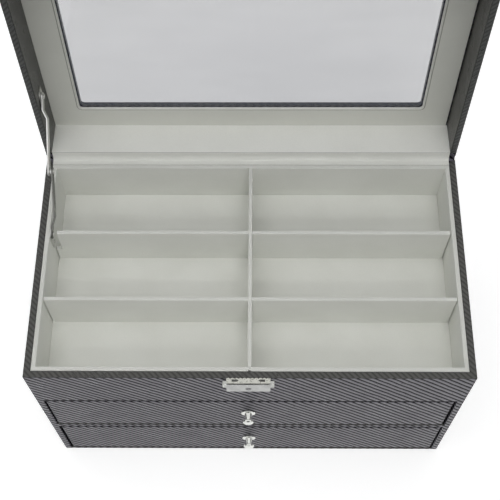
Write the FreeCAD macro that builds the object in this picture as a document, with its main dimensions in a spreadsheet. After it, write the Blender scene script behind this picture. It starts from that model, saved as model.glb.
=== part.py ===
import FreeCAD, Part
import Sketcher
import os
import re

# Eyeglasses storage box: tray with six cells, windowed lid, folding lid stay, lock and two drawers.
# Origin: centre of the base underside. +X right, +Y towards the hinges, +Z up. The lid rests open.

doc = FreeCAD.newDocument("glasses_box")

# Driving dimensions, in millimetres and degrees

SIZES = {
    "box_width": (340.0, "outside width"),
    "box_depth": (192.0, "outside depth"),
    "base_height": (192.0, "underside to tray rim"),
    "wall": (5.5, "case boards"),
    "bottom_board": (3.0, "thickness of the bottom"),
    "shelf_board": (5.0, "thickness of the shelf between the drawers"),
    "lower_bay": (66.1, "clear height of the lower drawer bay"),
    "rail_drop": (54.0, "rim to the lower edge of the front rail"),
    "tray_board": (4.5, "board under the tray"),
    "liner": (3.5, "cream boards inside the tray walls"),
    "floor_lining": (1.5, "padded lining of the tray floor"),
    "cell_drop": (43.5, "rim to the tray floor lining"),
    "divider": (3.1, "thickness of the tray dividers"),
    "front_cell": (54.2, "depth of the front row of cells"),
    "middle_cell": (55.1, "depth of the middle row of cells"),
    "divider_end_gap": (0.8, "gap between a cross divider and the side liner"),
    "lap_gap": (0.1, "clearance in the halved joints"),
    "divider_notch_width": (5.6, "cut-back of the rear divider at the stay"),
    "divider_notch_drop": (27.0, "depth of that cut-back"),
    "cloth": (0.4, "hinge cloth and thin linings"),
    "lid_wall": (5.25, "lid boards"),
    "lid_inner": (28.8, "lid rim to the face of the lining panel"),
    "panel": (2.0, "lining panel of the lid"),
    "frame_board": (4.4, "outer window frame"),
    "panel_gap": (1.0, "shadow gap beside the lining panel"),
    "window_side": (30.3, "left and right outside of the lid to the window"),
    "window_end": (27.9, "front and back outside of the lid to the window"),
    "window_corner": (2.6, "corner radius of the window"),
    "window_lip": (1.2, "frame seen inside the panel's window"),
    "glass": (1.5, "glass pane"),
    "glass_overlap": (4.0, "pane hidden behind the lining panel"),
    "glass_gap": (0.2, "clearance round the pane"),
    "panel_bead": (0.9, "rounded edge round the window"),
    "closing_gap": (0.4, "gap between rim and closed lid"),
    "open_angle": (94.1, "opening angle of the lid"),
    "hinge_up": (1.0, "hinge axis above the rim"),
    "barrel_radius": (1.3, "hinge barrel"),
    "barrel_gap": (0.2, "hinge barrel to the back face"),
    "pin_radius": (0.7, "hinge pin"),
    "running_gap": (0.05, "radial clearance of pins"),
    "leaf": (0.9, "thickness of a hinge leaf"),
    "leaf_width": (24.0, "hinge leaf along the axis"),
    "leaf_height": (14.0, "hinge leaf across the axis"),
    "knuckle_gap": (0.3, "gap between knuckles"),
    "hinge_spread": (110.0, "centre of the box to each hinge"),
    "screw_radius": (0.9, "shank of the small screws"),
    "screw_head": (1.7, "head radius of the small screws"),
    "screw_head_height": (0.6, "height of those heads"),
    "screw_length": (3.5, "shank length in the board"),
    "stay_back": (69.0, "back face to the stay's base pivot"),
    "stay_down": (4.0, "rim to the stay's base pivot"),
    "stay_lid_back": (62.0, "back of the lid to the stay's lid pivot"),
    "stay_lid_up": (12.6, "lid rim to the stay's lid pivot"),
    "stay_split": (0.465, "share of the open span that the lower link takes"),
    "elbow_rise": (3.0, "elbow above the line between the pivots"),
    "link_width": (7.0, "width of the stay links"),
    "link_thickness": (1.1, "thickness of the stay links"),
    "link_gap": (0.3, "clearance beside a link"),
    "elbow_spacer": (1.4, "boss between the two links"),
    "lower_bend_start": (6.6, "pivot to the start of the lower link's bend"),
    "lower_bend_run": (7.7, "length of that bend"),
    "upper_bend_start": (10.4, "pivot to the start of the upper link's bend"),
    "upper_bend_run": (7.0, "length of that bend"),
    "plate": (0.6, "thickness of the stay's end plates"),
    "plate_width": (9.0, "width of the end plates"),
    "plate_length": (16.0, "pivot to the far end of the end plates"),
    "stay_pin": (1.1, "radius of the stay's pins"),
    "stay_head": (2.1, "head radius of those pins"),
    "nail_offset": (12.5, "pivot to the nail of the base plate"),
    "lid_plate_reach": (7.2, "pivot to either end of the lid's plate"),
    "nail_edge": (2.3, "end of the lid's plate to its nail"),
    "nail_head_height": (0.35, "sunk head of the lid plate's nails"),
    "lock_shift": (-0.8, "lock left of the middle"),
    "lock_width": (33.0, "lock case"),
    "lock_depth": (5.6, "lock case out from the rail"),
    "lock_height": (15.0, "lock case"),
    "lock_proud": (0.6, "lock case above the rim"),
    "lock_skin": (0.8, "wall of the lock case"),
    "hook_span": (9.9, "middle of the lock to each slot"),
    "slot_length": (5.0, "slot in the top of the lock"),
    "slot_width": (1.7, "slot in the top of the lock"),
    "slot_out": (2.05, "rail face to the slot's middle"),
    "hook_thickness": (1.1, "hook of the hasp"),
    "hook_neck": (2.2, "width of the hook's neck"),
    "hook_barb": (1.2, "hook's barb beyond the neck"),
    "hook_reach": (6.0, "hook below the lid's rim"),
    "hasp_height": (13.0, "hasp plate on the lid"),
    "hasp_thickness": (1.2, "hasp plate"),
    "hasp_lift": (1.0, "lid rim to the hasp plate"),
    "button_width": (2.6, "button across the box's front face"),
    "button_height": (8.2, "release button"),
    "button_out": (2.9, "release button beside the lock"),
    "button_travel": (1.6, "travel of a release button"),
    "catch_plate": (1.2, "sliding plate behind the button"),
    "catch_gap": (0.25, "clearance round the moving pieces of the lock"),
    "cylinder_radius": (2.2, "key cylinder"),
    "cylinder_drop": (8.5, "rim to the key cylinder's axis"),
    "cam_length": (6.4, "cam of the key cylinder"),
    "cam_width": (1.8, "cam of the key cylinder"),
    "keyhole_width": (0.8, "keyhole"),
    "spring_radius": (0.9, "coil of the catch spring"),
    "spring_wire": (0.15, "wire radius of that spring"),
    "spring_pitch": (0.9, "pitch of its coil"),
    "drawer_gap": (0.7, "gap above and below a drawer front"),
    "drawer_side_gap": (1.0, "gap beside a drawer front"),
    "upper_shift": (-0.3, "upper drawer off centre"),
    "lower_shift": (0.3, "lower drawer off centre"),
    "drawer_side": (3.5, "drawer sides and back"),
    "drawer_headroom": (16.0, "drawer sides to the board above"),
    "drawer_bottom": (3.0, "drawer bottom"),
    "drawer_divider": (2.5, "dividers of the drawers"),
    "drawer_slide_gap": (0.3, "drawer above its shelf"),
    "drawer_back_gap": (2.0, "drawer to the back board"),
    "knob_shift": (-1.6, "knobs left of the middle"),
    "upper_knob_rise": (1.4, "upper knob above the middle of its front"),
    "lower_knob_rise": (0.0, "lower knob above the middle of its front"),
    "knob_foot": (5.9, "radius of the knob's foot"),
    "knob_foot_height": (0.9, "height of that foot"),
    "knob_flare": (1.0, "height of the flare above the foot"),
    "knob_stem": (2.15, "radius of the stem"),
    "knob_head": (4.65, "radius of the head"),
    "knob_head_out": (7.1, "drawer face to the head"),
    "knob_head_height": (2.8, "height of the head"),
    "knob_screw": (1.5, "radius of the knob's screw"),
    "knob_screw_head": (3.2, "head radius of the knob's screw"),
    "knob_screw_seat": (1.7, "counterbore for that head"),
    "knob_screw_depth": (5.0, "screw inside the knob"),
}

# Places that follow from the driving dimensions

PLACES = {
    "half_width": "box_width / 2",
    "front": "-box_depth / 2",
    "back": "box_depth / 2",
    "rim": "base_height",
    "inner_x": "half_width - wall",
    "inner_front": "front + wall",
    "inner_back": "back - wall",
    "cell_x": "inner_x - liner",
    "cell_front": "inner_front + liner",
    "cell_back": "inner_back - liner",
    "tray_floor": "rim - cell_drop",
    "tray_top": "tray_floor - floor_lining",
    "tray_under": "tray_top - tray_board",
    "shelf_under": "bottom_board + lower_bay",
    "shelf_top": "shelf_under + shelf_board",
    "rail_bottom": "rim - rail_drop",
    "front_divider": "cell_front + front_cell",
    "rear_divider": "front_divider + divider + middle_cell",
    "lap_height": "tray_floor + cell_drop / 2",
    "hinge_out": "barrel_radius + barrel_gap",
    "hinge_y": "back + hinge_out",
    "hinge_z": "rim + hinge_up",
    "lid_back": "-hinge_out",
    "lid_front": "lid_back - box_depth",
    "lid_rim": "closing_gap - hinge_up",
    "lid_inner_x": "half_width - lid_wall",
    "panel_face": "lid_rim + lid_inner",
    "frame_face": "panel_face + panel",
    "lid_top": "frame_face + frame_board",
    "window_x": "half_width - window_side",
    "window_front": "lid_front + window_end",
    "window_back": "lid_back - window_end",
    "leaf_start": "barrel_radius + barrel_gap",
    "knuckle": "(leaf_width - 2 * knuckle_gap) / 3",
    "liner_face": "-cell_x",
    "lid_wall_face": "-lid_inner_x",
    "base_pivot_y": "back - stay_back",
    "base_pivot_z": "rim - stay_down",
    "lid_pivot_closed_y": "lid_back - stay_lid_back",
    "lid_pivot_closed_z": "lid_rim + stay_lid_up",
    "open_cos": "cos(open_angle * 1deg)",
    "open_sin": "sin(open_angle * 1deg)",
    "lid_pivot_y": "hinge_y + lid_pivot_closed_y * open_cos + lid_pivot_closed_z * open_sin",
    "lid_pivot_z": "hinge_z - lid_pivot_closed_y * open_sin + lid_pivot_closed_z * open_cos",
    "span_y": "lid_pivot_y - base_pivot_y",
    "span_z": "lid_pivot_z - base_pivot_z",
    "span": "sqrt(span_y * span_y + span_z * span_z)",
    "elbow_y": "base_pivot_y + span_y * stay_split - elbow_rise * span_z / span",
    "elbow_z": "base_pivot_z + span_z * stay_split + elbow_rise * span_y / span",
    "lower_y": "elbow_y - base_pivot_y",
    "lower_z": "elbow_z - base_pivot_z",
    "upper_y": "elbow_y - lid_pivot_y",
    "upper_z": "elbow_z - lid_pivot_z",
    "lower_length": "sqrt(lower_y * lower_y + lower_z * lower_z)",
    "upper_length": "sqrt(upper_y * upper_y + upper_z * upper_z)",
    "lower_end_x": "liner_face + plate + link_gap",
    "upper_end_x": "lid_wall_face + plate + link_gap",
    "upper_main_x": "liner_face + 2 * link_gap",
    "lower_main_x": "upper_main_x + link_thickness + link_gap + elbow_spacer",
    "lock_top": "rim + lock_proud",
    "lock_front": "front - lock_depth",
    "lock_inner_x": "lock_width / 2 - lock_skin",
    "lock_screw_z": "lock_top - lock_height + lock_skin + screw_head + catch_gap",
    "hook_y": "front - slot_out",
    "hook_inner": "hook_span - slot_length / 2 + catch_gap",
    "catch_z": "lock_top - lock_skin - 2.6",
    "catch_nose": "hook_inner - catch_gap",
    "catch_window_end": "hook_inner + hook_barb + hook_neck + button_travel + catch_gap",
    "button_front": "lock_front + lock_skin + catch_gap",
    "cylinder_z": "rim - cylinder_drop",
    "spring_half": "cam_length / 2 + catch_gap",
    "spring_z": "catch_z - 0.6",
    "drawer_x": "inner_x - drawer_side_gap",
    "drawer_back": "inner_back - drawer_back_gap",
    "drawer_cell_front": "front + wall",
    "drawer_cell_back": "drawer_back - drawer_side",
    "drawer_row": "(drawer_cell_back - drawer_cell_front - 2 * drawer_divider) / 3",
}


def name_cells(text, sheets):
    """Write sheet.alias for every known alias in an expression."""
    def full(match):
        word = match.group(0)
        for sheet, names in sheets.items():
            if word in names:
                return sheet + "." + word
        return word
    return re.sub(r"[a-z_]+[a-z0-9_]*", full, text)


SHEETS = {"dims": SIZES, "places": PLACES}

dims = doc.addObject("Spreadsheet::Sheet", "dims")
for row, (alias, (size, note)) in enumerate(SIZES.items(), 1):
    dims.set("A%d" % row, alias)
    dims.set("B%d" % row, str(size))
    dims.set("C%d" % row, note)
    dims.setAlias("B%d" % row, alias)
doc.recompute()

places = doc.addObject("Spreadsheet::Sheet", "places")
for row, (alias, formula) in enumerate(PLACES.items(), 1):
    places.set("A%d" % row, alias)
    places.set("B%d" % row, "=" + name_cells(formula, {"dims": SIZES}))
    places.setAlias("B%d" % row, alias)
doc.recompute()


def expression(text):
    """The expression with its aliases tied to their sheets."""
    return name_cells(text, SHEETS)


def value(alias):
    """The number that a place or size holds now."""
    sheet = dims if alias in SIZES else places
    return float(getattr(sheet, alias))


def bind(target, path, text):
    """Tie a property to the sheets."""
    target.setExpression(path, expression(text))


# Building blocks: a piece is a body, made of blocks and rounds that are added or cut away

PIECES = []
X_AXIS = FreeCAD.Vector(1, 0, 0)
Y_AXIS = FreeCAD.Vector(0, 1, 0)


def piece(label):
    body = doc.addObject("PartDesign::Body", label)
    body.Label = label
    PIECES.append(body)
    return body


def lid_piece(label):
    """A piece drawn for the closed lid, about the hinge axis, and then turned open."""
    body = piece(label)
    turn_with_lid(body)
    return body


def turn_with_lid(body):
    body.Placement.Rotation = FreeCAD.Rotation(FreeCAD.Vector(-1, 0, 0), value("open_angle"))
    bind(body, "Placement.Base.y", "hinge_y")
    bind(body, "Placement.Base.z", "hinge_z")
    bind(body, "Placement.Rotation.Angle", "open_angle")


def origin_plane(body, role):
    for feature in body.Origin.OriginFeatures:
        if feature.Role == role:
            return feature
    raise ValueError(role)


def rectangle(body, name, x, y, height):
    """A sketched rectangle on the XY plane, lifted to a height; x and y are (low, high)."""
    sketch = body.newObject("Sketcher::SketchObject", name)
    sketch.AttachmentSupport = [(origin_plane(body, "XY_Plane"), "")]
    sketch.MapMode = "FlatFace"
    bind(sketch, "AttachmentOffset.Base.z", height)
    corners = [(0, 0), (10, 0), (10, 10), (0, 10)]
    for i in range(4):
        start = FreeCAD.Vector(*corners[i], 0)
        end = FreeCAD.Vector(*corners[(i + 1) % 4], 0)
        sketch.addGeometry(Part.LineSegment(start, end))
    for i in range(4):
        sketch.addConstraint(Sketcher.Constraint("Coincident", i, 2, (i + 1) % 4, 1))
        kind = "Vertical" if i % 2 else "Horizontal"
        sketch.addConstraint(Sketcher.Constraint(kind, i))
    places_of = [("DistanceX", 0, x[0]), ("DistanceX", 2, x[1]), ("DistanceY", 0, y[0]), ("DistanceY", 2, y[1])]
    for kind, line, text in places_of:
        index = sketch.addConstraint(Sketcher.Constraint(kind, -1, 1, line, 1, 1.0))
        bind(sketch, "Constraints[%d]" % index, text)
    return sketch


def board(body, x, y, z, name="Board"):
    """A pad from a sketched rectangle; x, y and z are (low, high)."""
    sketch = rectangle(body, name + "Outline", x, y, z[0])
    pad = body.newObject("PartDesign::Pad", name)
    pad.Profile = sketch
    bind(pad, "Length", "(%s) - (%s)" % (z[1], z[0]))
    sketch.Visibility = False
    return pad


def block(body, x, y, z, cut=False, name="Block"):
    """A box added to the body, or cut from it; x, y and z are (low, high)."""
    kind = "PartDesign::SubtractiveBox" if cut else "PartDesign::AdditiveBox"
    box = body.newObject(kind, name)
    for size, axis, (low, high) in (("Length", "x", x), ("Width", "y", y), ("Height", "z", z)):
        bind(box, size, "(%s) - (%s)" % (high, low))
        bind(box, "Placement.Base." + axis, low)
    return box


TURNS = {
    "x": FreeCAD.Rotation(Y_AXIS, 90),
    "y": FreeCAD.Rotation(X_AXIS, -90),
    "z": FreeCAD.Rotation(),
}


def rod(body, axis, start, radius, length, cut=False, name="Round"):
    """A cylinder along an axis from the start point (x, y, z), added or cut."""
    kind = "PartDesign::SubtractiveCylinder" if cut else "PartDesign::AdditiveCylinder"
    cylinder = body.newObject(kind, name)
    bind(cylinder, "Radius", radius)
    bind(cylinder, "Height", length)
    cylinder.Placement = FreeCAD.Placement(FreeCAD.Vector(), TURNS[axis])
    for letter, text in zip("xyz", start):
        bind(cylinder, "Placement.Base." + letter, text)
    return cylinder


def round_edges(body, radius, chosen, name="Rounding"):
    """A fillet on the edges of the tip that the test picks."""
    doc.recompute()
    base = body.Tip
    edges = ["Edge%d" % (i + 1) for i, edge in enumerate(base.Shape.Edges) if chosen(edge)]
    fillet = body.newObject("PartDesign::Fillet", name)
    fillet.Base = (base, edges)
    bind(fillet, "Radius", radius)
    base.Visibility = False
    return fillet


def is_near(number, target):
    return abs(number - target) < 0.01


# Case boards


def make_case():
    board(piece("left_side_board"), ("-half_width", "-inner_x"), ("front", "back"), ("0", "rim"))
    board(piece("right_side_board"), ("inner_x", "half_width"), ("front", "back"), ("0", "rim"))
    across = ("-inner_x", "inner_x")
    board(piece("bottom_board"), across, ("front", "back"), ("0", "bottom_board"))
    back = piece("back_board")
    board(back, across, ("inner_back", "back"), ("bottom_board", "rim - cloth"))
    for x in hinge_screw_places():
        rod(back, "y", (x, "back - screw_length", "hinge_z - leaf_start - leaf_height / 2"),
            "screw_radius", "screw_length", cut=True, name="ScrewHole")
    rail = piece("front_rail")
    board(rail, across, ("front", "inner_front"), ("rail_bottom", "rim"))
    for x in lock_screw_places():
        rod(rail, "y", (x, "front", "lock_screw_z"), "screw_radius", "wall", cut=True, name="ScrewHole")
        rod(rail, "y", (x, "inner_front - screw_head_height", "lock_screw_z"),
            "screw_head", "screw_head_height", cut=True, name="HeadSeat")
    board(piece("tray_floor_board"), across, ("inner_front", "inner_back"), ("tray_under", "tray_top"))
    board(piece("drawer_shelf"), across, ("front", "inner_back"), ("shelf_under", "shelf_top"))


def hinge_screw_places():
    offset = "leaf_width / 3"
    return ["%d * hinge_spread + %d * %s" % (side, end, offset) for side in (-1, 1) for end in (-1, 1)]


def lock_screw_places():
    return ["lock_shift + %d * lock_width / 3" % side for side in (-1, 1)]


# Tray liners and dividers


def make_tray():
    height = ("tray_top", "rim")
    board(piece("front_liner"), ("-inner_x", "inner_x"), ("inner_front", "cell_front"), height)
    board(piece("rear_liner"), ("-inner_x", "inner_x"), ("cell_back", "inner_back"), height)
    left = piece("left_liner")
    board(left, ("-inner_x", "-cell_x"), ("cell_front", "cell_back"), height)
    rod(left, "x", ("-inner_x", "base_pivot_y", "base_pivot_z - nail_offset"),
        "screw_radius", "liner", cut=True, name="NailHole")
    board(piece("right_liner"), ("cell_x", "inner_x"), ("cell_front", "cell_back"), height)
    board(piece("tray_floor_lining"), ("-cell_x", "cell_x"), ("cell_front", "cell_back"), ("tray_top", "tray_floor"))
    make_dividers("tray", ("tray_floor", "rim"), "lap_height", "divider",
                  ("cell_front", "cell_back"), "cell_x - divider_end_gap",
                  ("front_divider", "rear_divider"), "0")
    board(piece("rear_rim_lining"), ("-inner_x", "inner_x"), ("inner_back", "back"), ("rim - cloth", "rim"))


def make_dividers(owner, z, lap, thickness, y, half_length, crossings, middle):
    """One long divider and two cross dividers, halved into each other."""
    long_one = piece(owner + "_long_divider")
    x = ("%s - %s / 2" % (middle, thickness), "%s + %s / 2" % (middle, thickness))
    board(long_one, x, y, z)
    for crossing in crossings:
        block(long_one, x, ("%s - lap_gap" % crossing, "%s + %s + lap_gap" % (crossing, thickness)),
              (lap, z[1]), cut=True, name="Lap")
    pair = piece(owner + "_cross_dividers") if owner != "tray" else None
    for name, crossing in zip(("front", "rear"), crossings):
        cross = pair or piece("tray_%s_divider" % name)
        across = ("%s - (%s)" % (middle, half_length), "%s + %s" % (middle, half_length))
        along = (crossing, "%s + %s" % (crossing, thickness))
        board(cross, across, along, z)
        block(cross, (x[0] + " - lap_gap", x[1] + " + lap_gap"), along, (z[0], lap), cut=True, name="Lap")
        if owner == "tray" and name == "rear":
            block(cross, (across[0], "-cell_x + divider_notch_width"), along,
                  ("rim - divider_notch_drop", "rim"), cut=True, name="StayNotch")


# Lid, drawn closed about the hinge axis and turned open


def make_lid():
    height = ("lid_rim", "frame_face")
    depth = ("lid_front", "lid_back")
    left = lid_piece("lid_left_board")
    board(left, ("-half_width", "-lid_inner_x"), depth, height)
    for along in lid_nail_places():
        rod(left, "x", ("-half_width + lid_wall - screw_length", along, "lid_pivot_closed_z"),
            "screw_radius", "screw_length", cut=True, name="NailHole")
    board(lid_piece("lid_right_board"), ("lid_inner_x", "half_width"), depth, height)
    across = ("-lid_inner_x", "lid_inner_x")
    rear = lid_piece("lid_rear_board")
    board(rear, across, ("lid_back - lid_wall + cloth", "lid_back"), ("lid_rim + cloth", "frame_face"))
    for x in hinge_screw_places():
        rod(rear, "y", (x, "lid_back - screw_length", "leaf_start + leaf_height / 2"),
            "screw_radius", "screw_length", cut=True, name="ScrewHole")
    board(lid_piece("lid_rear_lining"), across,
          ("lid_back - lid_wall", "lid_back - lid_wall + cloth"), ("lid_rim + cloth", "panel_face"))
    board(lid_piece("lid_rim_lining"), across, ("lid_back - lid_wall", "lid_back"), ("lid_rim", "lid_rim + cloth"))
    front = lid_piece("lid_front_board")
    board(front, across, ("lid_front", "lid_front + lid_wall"), height)
    for x in hasp_nail_places():
        rod(front, "y", (x, "lid_front", "lid_rim + hasp_lift + hasp_height - 3"),
            "screw_radius", "screw_length", cut=True, name="NailHole")
    make_window()


def make_window():
    frame = lid_piece("window_frame_board")
    board(frame, ("-half_width", "half_width"), ("lid_front", "lid_back"), ("frame_face", "lid_top"))
    window_cut(frame, "0", ("frame_face", "lid_top"), "window_corner")
    reach = "(glass_overlap + glass_gap)"
    block(frame, ("-window_x - " + reach, "window_x + " + reach),
          ("window_front - " + reach, "window_back + " + reach),
          ("frame_face", "frame_face + glass"), cut=True, name="GlassRebate")
    pane = lid_piece("window_pane")
    board(pane, ("-window_x - glass_overlap", "window_x + glass_overlap"),
          ("window_front - glass_overlap", "window_back + glass_overlap"),
          ("frame_face", "frame_face + glass"))
    panel = lid_piece("lid_lining_panel")
    board(panel, ("-lid_inner_x + panel_gap", "lid_inner_x - panel_gap"),
          ("lid_front + lid_wall", "lid_back - lid_wall + cloth"), ("panel_face", "frame_face"))
    window_cut(panel, "window_lip", ("panel_face", "frame_face"), "window_corner")
    low = value("panel_face")
    reach_x = value("window_x") + value("window_lip") + 0.1
    round_edges(panel, "panel_bead", lambda edge: is_inner_rim(edge, low, reach_x), name="Bead")


def is_inner_rim(edge, height, reach_x):
    """An edge of the window opening on the face at this height."""
    box = edge.BoundBox
    flat = is_near(box.ZMin, height) and is_near(box.ZMax, height)
    return flat and box.XMin > -reach_x and box.XMax < reach_x


def window_cut(body, margin, z, corner):
    """The window opening with round corners, this much larger all round than the frame's."""
    sketch = rectangle(body, "WindowOutline", ("-window_x - " + margin, "window_x + " + margin),
                       ("window_front - " + margin, "window_back + " + margin), z[0])
    pocket = body.newObject("PartDesign::Pocket", "WindowOpening")
    pocket.Profile = sketch
    pocket.Reversed = True
    bind(pocket, "Length", "(%s) - (%s)" % (z[1], z[0]))
    sketch.Visibility = False
    doc.recompute()
    reach = value("window_x") + value("window_lip") + 0.1
    low = value(z[0])

    def is_corner(edge):
        box = edge.BoundBox
        upright = box.ZMax - box.ZMin > 1 and box.XLength < 0.01 and box.YLength < 0.01
        return upright and abs(box.XMin) < reach and is_near(box.ZMin, low)
    round_edges(body, corner, is_corner, name="WindowCorners")


# Hinges: base leaf and lid leaf with knuckles on one pin


def make_hinges():
    base = piece("base_hinge_leaves")
    lid = lid_piece("lid_hinge_leaves")
    pins = piece("hinge_pins")
    for side in (-1, 1):
        middle = "%d * hinge_spread" % side
        ends = ("%s - leaf_width / 2" % middle, "%s + leaf_width / 2" % middle)
        centre = ("%s - knuckle / 2" % middle, "%s + knuckle / 2" % middle)
        top = "hinge_z - leaf_start"
        block(base, ends, ("back", "back + leaf"), (top + " - leaf_height", top), name="Leaf")
        for start in (ends[0], centre[1] + " + knuckle_gap"):
            end = start + " + knuckle"
            block(base, (start, end), ("hinge_y - barrel_radius", "back + leaf"), (top, "hinge_z"), name="Web")
            rod(base, "x", (start, "hinge_y", "hinge_z"), "barrel_radius", "knuckle", name="Knuckle")
        rod(base, "x", (ends[0], "hinge_y", "hinge_z"), "pin_radius + running_gap", "leaf_width",
            cut=True, name="PinBore")
        block(lid, ends, ("lid_back", "lid_back + leaf"), ("leaf_start", "leaf_start + leaf_height"), name="Leaf")
        block(lid, centre, ("-barrel_radius", "lid_back + leaf"), ("0", "leaf_start"), name="Web")
        rod(lid, "x", (centre[0], "0", "0"), "barrel_radius", "knuckle", name="Knuckle")
        rod(lid, "x", (centre[0], "0", "0"), "pin_radius + running_gap", "knuckle", cut=True, name="PinBore")
        for shift in (-1, 1):
            x = "%s + %d * leaf_width / 3" % (middle, shift)
            rod(base, "y", (x, "back", top + " - leaf_height / 2"), "screw_radius", "leaf",
                cut=True, name="ScrewHole")
            rod(lid, "y", (x, "lid_back", "leaf_start + leaf_height / 2"), "screw_radius", "leaf",
                cut=True, name="ScrewHole")
        rod(pins, "x", (ends[0], "hinge_y", "hinge_z"), "pin_radius", "leaf_width", name="Pin")


# Folding stay on the left: end plates, pins, two cranked links


def make_stay():
    base_plate = piece("stay_base_plate")
    end_plate(base_plate, "liner_face", "base_pivot_y", "base_pivot_z", "-plate_length", "link_width / 2")
    rod(base_plate, "x", ("liner_face", "base_pivot_y", "base_pivot_z - nail_offset"), "screw_radius", "plate",
        cut=True, name="NailHole")
    pivot_pin(base_plate, "lower_end_x", "base_pivot_y", "base_pivot_z")
    lid_plate = lid_piece("stay_lid_plate")
    block(lid_plate, ("lid_wall_face", "lid_wall_face + plate"),
          ("lid_pivot_closed_y - lid_plate_reach", "lid_pivot_closed_y + lid_plate_reach"),
          ("lid_pivot_closed_z - plate_width / 2", "lid_pivot_closed_z + plate_width / 2"), name="Plate")
    for along in lid_nail_places():
        rod(lid_plate, "x", ("lid_wall_face", along, "lid_pivot_closed_z"), "screw_radius", "plate",
            cut=True, name="NailHole")
        rod(lid_plate, "x", ("lid_wall_face + plate - nail_head_height", along, "lid_pivot_closed_z"),
            "screw_head + running_gap", "nail_head_height", cut=True, name="HeadSeat")
    pivot_pin(lid_plate, "upper_end_x", "lid_pivot_closed_y", "lid_pivot_closed_z")
    lower = piece("stay_lower_link")
    cranked_link(lower, "lower", ("base_pivot_y", "base_pivot_z"))
    rivet = piece("stay_elbow_rivet")
    rod(rivet, "x", ("upper_main_x + link_thickness + link_gap", "elbow_y", "elbow_z"), "stay_head",
        "elbow_spacer", name="Spacer")
    rod(rivet, "x", ("upper_main_x + link_thickness + link_gap", "elbow_y", "elbow_z"), "stay_pin",
        "elbow_spacer + link_thickness + plate", name="Shank")
    rod(rivet, "x", ("lower_main_x + link_thickness", "elbow_y", "elbow_z"), "stay_head", "plate", name="Head")
    upper = piece("stay_upper_link")
    cranked_link(upper, "upper", ("lid_pivot_y", "lid_pivot_z"))


def lid_nail_places():
    return ["lid_pivot_closed_y + %d * (lid_plate_reach - nail_edge)" % side for side in (-1, 1)]


def end_plate(body, x, y, z, low, high):
    block(body, (x, x + " + plate"), (y + " - plate_width / 2", y + " + plate_width / 2"),
          (z + low, z + " + " + high), name="Plate")


def pivot_pin(body, link_x, y, z):
    """A headed pin that the link's eye turns on."""
    rod(body, "x", (link_x + " - link_gap", y, z), "stay_pin", "link_thickness + 2 * link_gap", name="Pin")
    rod(body, "x", (link_x + " + link_thickness + link_gap", y, z), "stay_head", "plate", name="PinHead")


def cranked_link(body, name, pivot):
    """A flat link along local +Y from its pivot (y, z), with a sideways bend near the pivot."""
    thick = "link_thickness"
    half = "link_width / 2"
    length = name + "_length"
    end_x = name + "_end_x"
    main_x = name + "_main_x"
    bend_start = name + "_bend_start"
    bend_end = "%s_bend_start + %s_bend_run" % (name, name)
    block(body, (end_x, end_x + " + " + thick), ("0", bend_start), ("-" + half, half), name="EndStrip")
    rod(body, "x", (end_x, "0", "0"), half, thick, name="EndEye")
    block(body, (main_x, main_x + " + " + thick), (bend_end, length), ("-" + half, half), name="MainStrip")
    rod(body, "x", (main_x, length, "0"), half, thick, name="MainEye")
    bend = body.newObject("PartDesign::AdditiveLoft", "Bend")
    first = end_outline(body, "BendStart", end_x, bend_start)
    last = end_outline(body, "BendEnd", main_x, bend_end)
    bend.Profile = first
    bend.Sections = [last]
    bend.Ruled = True
    for sketch in (first, last):
        sketch.Visibility = False
    rod(body, "x", (end_x, "0", "0"), "stay_pin + running_gap", thick, cut=True, name="EndHole")
    rod(body, "x", (main_x, length, "0"), "stay_pin + running_gap", thick, cut=True, name="MainHole")
    body.Placement.Rotation = FreeCAD.Rotation(X_AXIS, 30)
    bind(body, "Placement.Base.y", pivot[0])
    bind(body, "Placement.Base.z", pivot[1])
    bind(body, "Placement.Rotation.Angle", "atan2(%s_z; %s_y)" % (name, name))


def end_outline(body, name, x, along):
    """The link's cross-section, sketched on the XZ plane at this distance along it."""
    sketch = body.newObject("Sketcher::SketchObject", name)
    sketch.AttachmentSupport = [(origin_plane(body, "XZ_Plane"), "")]
    sketch.MapMode = "FlatFace"
    bind(sketch, "AttachmentOffset.Base.z", "-(%s)" % along)
    corners = [(0, 0), (1, 0), (1, 1), (0, 1)]
    for i in range(4):
        start = FreeCAD.Vector(*corners[i], 0)
        end = FreeCAD.Vector(*corners[(i + 1) % 4], 0)
        sketch.addGeometry(Part.LineSegment(start, end))
    for i in range(4):
        sketch.addConstraint(Sketcher.Constraint("Coincident", i, 2, (i + 1) % 4, 1))
        kind = "Vertical" if i % 2 else "Horizontal"
        sketch.addConstraint(Sketcher.Constraint(kind, i))
    sizes = [("DistanceX", 0, x), ("DistanceX", 2, x + " + link_thickness"),
             ("DistanceY", 0, "-link_width / 2"), ("DistanceY", 2, "link_width / 2")]
    for kind, line, text in sizes:
        index = sketch.addConstraint(Sketcher.Constraint(kind, -1, 1, line, 1, 1.0))
        bind(sketch, "Constraints[%d]" % index, text)
    return sketch


# Lock: case, key cylinder, two release buttons with catches; hasp on the lid


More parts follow.
